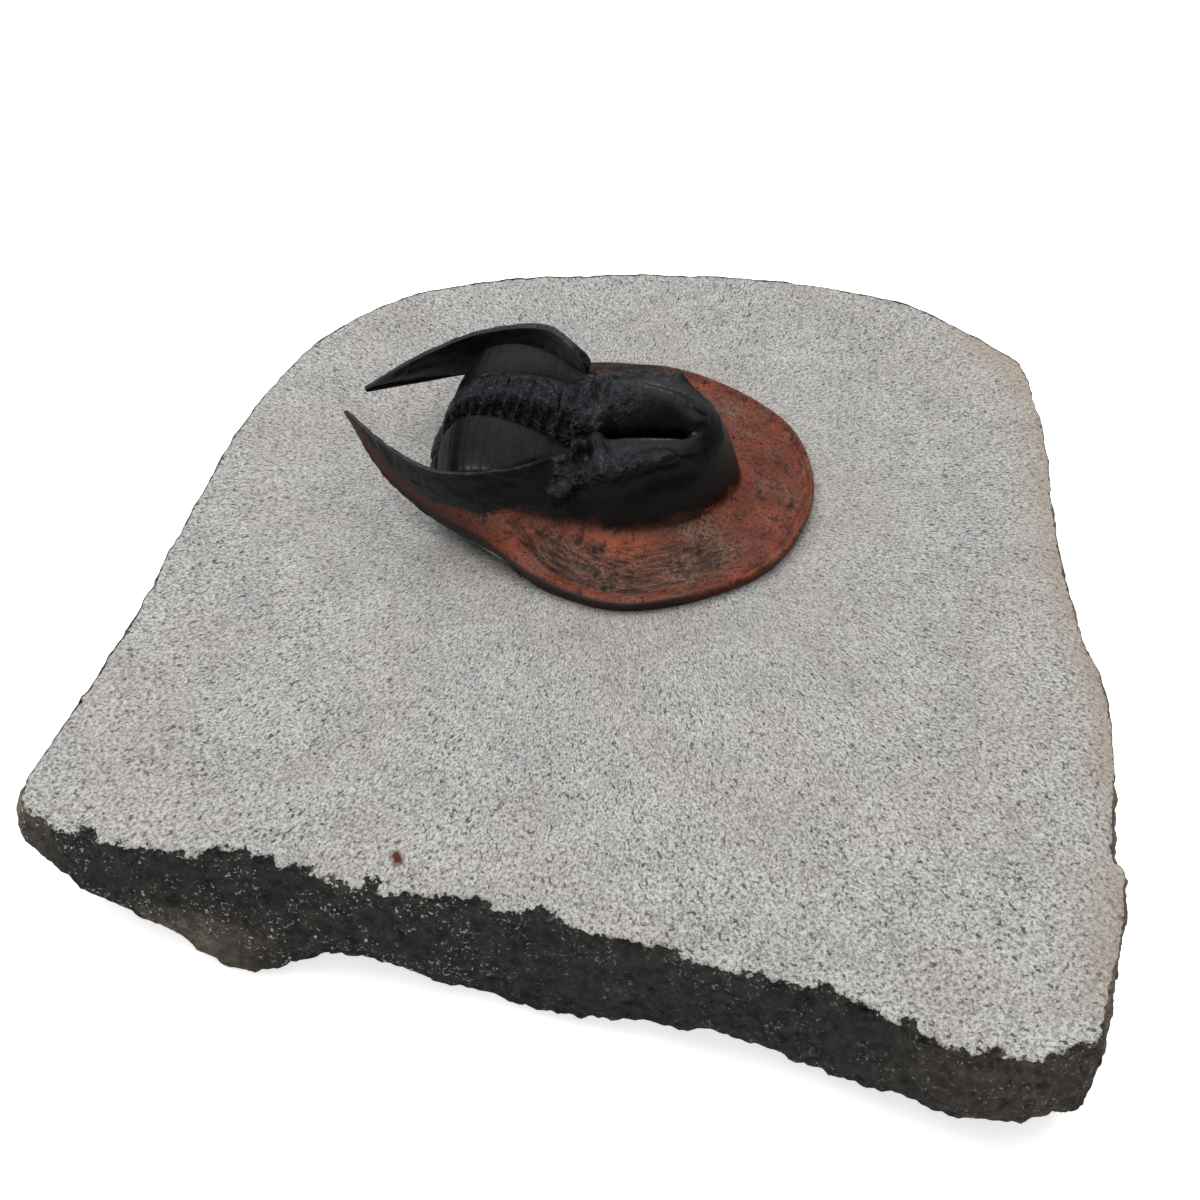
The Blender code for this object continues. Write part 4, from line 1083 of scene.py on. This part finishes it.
def colour_head(piece, spots, zone, reach, heights, wrinkled, pits, rough):
    """Marks for the stained brim and its grey patches, painted shade, light and highlight, and the
    rough brow.
    """
    x, y, _ = spots.T

    # The stain covers the brim, a little less of the blades, and the whole of their tips
    brim = 2.06 - zone - 0.35 * ease(-x, 9.0, 14.0) + 1.2 * ease(-x, 25.0, 29.5)
    brim += 0.08 * noise(spots, 2.5, 30)
    set_marks(piece, (-1.0, 1.0), brim=np.where(zone >= INNER_FACE_ZONE, -1.0, brim) * 3.0)
    grey = stains(x, y, GREY_STAINS)
    grey += 0.9 * wrinkled * ease(-y, 9.0, 11.0) * (0.75 + 0.5 * noise(spots, 2.0, 33))
    grey += 0.7 * ease(y, 13.0, 16.0) * ease(6.0 - x, 0.0, 5.0)
    grey += 0.4 * ease(noise(spots, 3.0, 31), 0.1, 0.5)

    # Blackened stain on the brim's far side and on the blades; down the wall under the near rim it
    # is painted shade
    soot = 0.8 * ease(y, 10.0, 15.0) * ease(6.0 - x, 0.0, 6.0)
    soot = np.maximum(soot, 0.62 * ease(-x, 13.0, 21.0))
    wall = ease(0.4 - reach, 0.0, 0.2) * (zone < 1.3) * ease(-y, 4.0, 9.0)
    soot = np.maximum(soot, 0.92 * wall * ease(12.0 - x, 0.0, 5.0))
    soot = np.maximum(soot, 0.95 * (zone < 1.4) * ease(y, 0.0, 3.0) * ease(-x, 5.0, 9.0))

    # Painted light: lighter patches on the near brim below the cheek and by the near blade
    bright = stains(x, y, BRIGHT_STAINS) * (0.8 + 0.5 * noise(spots, 1.5, 35))
    # Painted shade: dark creases, pits, the groove and the brim's inner edge, and a dark nick
    crease = 0.4 * ease(-heights * wrinkled, 0.02, 0.14) + 0.8 * pits
    groove = 0.7 * bump(reach - 1.0, 0.16) * ease(x, 4.0, 9.0)
    crease += groove * ease(noise(spots, 1.5, 34), -0.1, 0.4)
    crease += 0.6 * ease(zone - 1.88, 0.0, 0.14) * ease(-y, 5.0, 9.0) * (zone < 2.2)
    crease += bump(np.hypot((x - NICK_AT[0]) * 0.6 + 0.3 * y, y - NICK_AT[1]), NICK_REACH)
    # Painted highlight: pale lines along the glabella's crest, the ridges beside it and the
    # blades' top edge
    edge = 0.4 * near_line(spots, CREST_LINE, 0.2)
    edge += near_line(spots, RIDGE_LINE, 0.25) + near_line(spots, RIDGE_LINE, 0.25, -1.0)
    edge = (zone > 3.0) * edge + 0.35 * bump(zone - 2.97, 0.05) * ease(-x, 6.0, 9.0)
    set_marks(piece, grey=grey, soot=soot, bright=bright, crease=crease, edge=edge, rough=rough)


# Body

def body_sections(places, sizes, leans):
    """Half cross-sections in the body's leaning planes, from the foot to the crest.

    places run from 0 at the head to 5 at the tail shield. Returns the half sections as width
    and height, the numbers that run along each one, and the planes' up and back directions
    and foot.
    """
    crest = along(AXIS_CREST, places)
    foot_x = along(PLANE_FOOT_X, places)[:, 0]
    height = np.hypot(crest[:, 0] - foot_x, crest[:, 1] + SUNK) * sizes
    if leans is None:
        leans = np.arctan2(foot_x - crest[:, 0], crest[:, 1] + SUNK)
    up = np.column_stack((-np.sin(leans), np.cos(leans)))
    back = np.column_stack((-np.cos(leans), -np.sin(leans)))
    furrow_y, fold_y, tip_y = (
        along(widths, places)[:, 0] * sizes
        for widths in (FURROW_HALF_WIDTH, FOLD_HALF_WIDTH, TIP_HALF_WIDTH)
    )
    furrow, fold, tip = (
        height - along(drops, places)[:, 0] * shrink
        for drops, shrink in ((FURROW_DROP, 1.0), (FOLD_DROP, 1.0), (TIP_DROP, sizes))
    )
    # Each point of the half section is given by its width and height
    half = np.stack((
        (tip_y - FOOT_INSET, 0.0 * tip),
        (tip_y, tip),
        (0.55 * fold_y + 0.45 * tip_y, 0.4 * tip + 0.6 * fold),
        (fold_y, fold),
        (0.5 * (fold_y + furrow_y), 0.5 * (fold + furrow) + 0.45),
        (furrow_y + 0.9, furrow + 0.3),
        (furrow_y, furrow),
        (0.84 * furrow_y, furrow + 0.62 * (height - furrow)),
        (0.5 * furrow_y, furrow + 0.96 * (height - furrow)),
        (0.0 * tip_y, height),
    )).transpose(0, 2, 1)
    count = (len(half) - 1) * POINTS_A_STRETCH + 1
    numbers = np.linspace(0.0, len(half) - 1, count)
    profile = along(half.reshape(len(half), -1), numbers).reshape(count, -1, 2)
    return profile, numbers, up, back, foot_x


def plate_relief(run, across, place, pit_top):
    """Height of a plate's relief.

    run goes from 0 to 1 along the plate, and across from 0 at its foot to 9 at its crest.
    Between thin ribs, a deep pit lies beside each ring. The pleurae are almost flush, and
    their joints show more where the body bends down to the tail.
    """
    bend = ease(place, 3.6, 4.7)
    joint = np.maximum(bump(run, 0.08), bump(run - 1.0, 0.08))
    on_ring = ease(across, 7.9, 8.4)
    ring = on_ring * (RING_ARCH * np.sin(math.pi * run) - RING_JOINT * joint)
    slanted = (run + PIT_SLANT * (across - 7.0)) % 1.0
    hollow = ease(slanted, 0.1, 0.26) * ease(0.94 - slanted, 0.0, 0.16)
    pit = -PIT_DEPTH * hollow * ease(across, 5.4, 6.0) * ease(pit_top - across, 0.0, 0.6)
    pit = pit * (1.0 - ease(place, 3.9, 4.6))
    on_pleura = ease(across, 1.6, 2.6) * ease(5.5 - across, 0.0, 0.5)
    arch, groove = (flush + more * bend for flush, more in (PLEURA_ARCH, PLEURA_JOINT))
    return ring + pit + on_pleura * (arch * np.sin(math.pi * run) - groove * joint)


def plate_points(places, offsets, runs, sizes=1.0, leans=None):
    """Points of a plate's sections with the relief added, and their number across.

    offsets move the sections' planes back along their own normals.
    """
    sizes = np.ones(len(places)) * sizes
    profile, numbers, up, back, foot_x = body_sections(places, sizes, leans)
    base = np.column_stack((foot_x, np.full(len(places), -SUNK))) + back * offsets[:, None]
    halves = []
    for side, pit_top, wider in ((1.0, PIT_TOPS[0], 0.0), (-1.0, PIT_TOPS[1], RIGHT_WIDER)):
        extra = plate_relief(runs[None, :], numbers[:, None], places[None, :], pit_top)
        shoulder = wider * bump(numbers - 2.8, 1.3)[:, None] * ease(places, 0.5, 1.8) * sizes
        reach = profile[..., 1] + extra * ease(numbers, 1.0, 3.2)[:, None] - 0.6 * shoulder
        wide = profile[..., 0] + extra * ease(4.0 - numbers, 0.0, 2.0)[:, None] + shoulder
        x = base[:, 0] + up[:, 0] * reach
        z = np.maximum(base[:, 1] + up[:, 1] * reach, -SUNK)
        halves.append(np.stack((x, side * wide, z), axis=2))
    across = np.concatenate((numbers, numbers[-2::-1]))
    return np.concatenate((halves[0], halves[1][-2::-1])).transpose(1, 0, 2), across


def loft(name, sections, across, material, stands_for):
    """Closed solid through a row of closed sections, with the rough rings of the axis."""
    width = sections.shape[1]
    rows = [k * width for k in range(len(sections))]
    faces = strips(rows, width, closed=True)
    faces.append(tuple(range(width)))
    faces.append(tuple(range(rows[-1], rows[-1] + width)))
    marks = {"rough": np.tile(ease(across, 5.3, 6.0), len(sections))}
    piece = new_piece(name, sections.reshape(-1, 3).tolist(), faces, material, stands_for,
                      marks)
    spots = places_of(piece)
    on_axis = mark_of(piece, "rough")
    lumps = RING_LUMP_HEIGHT * layered_noise(spots, RING_LUMP_SIZE, 4, 51) * on_axis
    raise_relief(piece, lumps + unevenness(spots, PLATE_LUMPS, 55))
    set_marks(piece, rough=RING_ROUGHNESS * on_axis)


def plate_place(index):
    """Place of the joint behind plate number index, from 0 at the head to 5."""
    share = index / SEGMENTS
    return (len(AXIS_CREST) - 1) * share * (1.0 + SHORTENING * (1.0 - share))


def build_plate(index, material):
    """One thoracic segment: an axial ring and a pleura on each side."""
    start, end = plate_place(index), plate_place(index + 1)
    runs = np.linspace(0.0, 1.0, PLATE_ROWS)
    places = start + (end - start) * runs
    offsets = JOINT_GAP * (0.5 - runs)
    offsets[0] -= HEAD_OVERLAP if index == 0 else 0.0
    number = f"{index + 1:02d}"
    loft("plate_" + number, *plate_points(places, offsets, runs), material,
         "thoracic_segment_" + number)


def build_tail(material):
    """Tail shield: the body's last plate, fanning down to the slab with low ribs."""
    place = len(AXIS_CREST) - 1.0
    crest = AXIS_CREST[-1]
    first_lean = math.atan2(PLANE_FOOT_X[-1] - crest[0], crest[1] + SUNK)
    shares = np.linspace(0.0, 1.0, TAIL_ROWS)
    sizes = 1.0 + (TAIL_SHRINK - 1.0) * shares ** 1.5
    leans = first_lean + (math.radians(TAIL_LEAN_END) - first_lean) * shares
    offsets = 0.5 * JOINT_GAP * (1.0 - shares)
    runs = (shares * TAIL_RIBS) % 1.0
    sections = plate_points(np.full(TAIL_ROWS, place), offsets, runs, sizes, leans)
    loft("tail_shield", *sections, material, "pygidium")


# Studio

def add_board(name, corners, faces, finish, glow):
    """White board round the part, which isn't a piece of it and shows in no reflection."""
    mesh = bpy.data.meshes.new(name)
    mesh.from_pydata(corners, [], faces)
    material, put, _ = new_finish(finish)
    surface = put("BsdfPrincipled", {"Base Color": "#f4f4f3", "Roughness": 0.9,
                                     "Emission Color": "#ffffff", "Emission Strength": glow})
    put("OutputMaterial", {"Surface": surface})
    mesh.materials.append(material)
    board = new_object(name, mesh)
    board.visible_glossy = False
    return board


def build_stage():
    """Plain pale floor, wide enough for any view, and white walls that only the camera sees."""
    half = STAGE_HALF
    plan = ((-half, -half), (half, -half), (half, half), (-half, half))
    floor = [(x, y, SLAB_LOW.z) for x, y in plan]
    add_board("floor", floor, [(0, 1, 2, 3)], "matt_white_board", FLOOR_GLOW)
    walls = [(x, y, z) for z in (SLAB_LOW.z - 1.0, 2.0 * half) for x, y in plan]
    backdrop = add_board("backdrop", walls, strips((0, 4), 4, closed=True), "white_backdrop",
                         WALL_GLOW)
    backdrop.visible_diffuse = False
    backdrop.visible_shadow = False


def aim(thing, place, target):
    """Stands a lamp or a camera at a place and points it at a target."""
    thing.location = in_frame(place)
    way = Vector(in_frame(target)) - Vector(in_frame(place))
    thing.rotation_euler = way.to_track_quat("-Z", "Y").to_euler()


def add_softbox(name, place, target, size, power):
    """Square lamp that points at a place; lengths in mm."""
    lamp = bpy.data.lights.new(name, "AREA")
    lamp.size = size * MM
    lamp.energy = power
    box = new_object(name, lamp)
    aim(box, place, target)
    return box


def set_up_studio():
    """Floor, a large overhead softbox, a smaller one for glints, and a room dim in front."""
    build_stage()
    add_softbox("overhead_softbox", *OVERHEAD_SOFTBOX).visible_glossy = False
    add_softbox("glint_panel", *GLINT_PANEL).visible_diffuse = False
    world = bpy.data.worlds.new("room")
    world.use_nodes = True
    world.node_tree.nodes.clear()
    put = functools.partial(add, world.node_tree)
    way = put("TexCoord", {}, "Generated")
    height = put("VectorMath", {0: way, 1: ROOM_UP}, "Value", operation="DOT_PRODUCT")
    strength = put("MapRange", {"Value": height, "From Min": 0.5,
                                "To Min": ROOM_DIM, "To Max": ROOM_BRIGHT})
    put("OutputWorld", {"Surface": put("Background", {"Color": "#ffffff", "Strength": strength})})
    bpy.context.scene.world = world
    bpy.context.scene.view_settings.view_transform = "Standard"


def set_up_camera():
    """Camera in front of the slab, looking down on the fossil."""
    lens = bpy.data.cameras.new("camera")
    lens.lens = LENS_MM
    lens.sensor_width = SENSOR_MM
    camera = new_object("camera", lens)
    aim(camera, CAMERA_AT, CAMERA_AIM)
    bpy.context.scene.camera = camera


def main():
    """Camera, studio and the pieces, from the slab up."""
    set_up_camera()
    set_up_studio()
    build_slab(limestone())
    build_head(stained_shell())
    shell = black_shell()
    for index in range(SEGMENTS):
        build_plate(index, shell)
    build_tail(shell)


main()

bpy.context.view_layer.update()
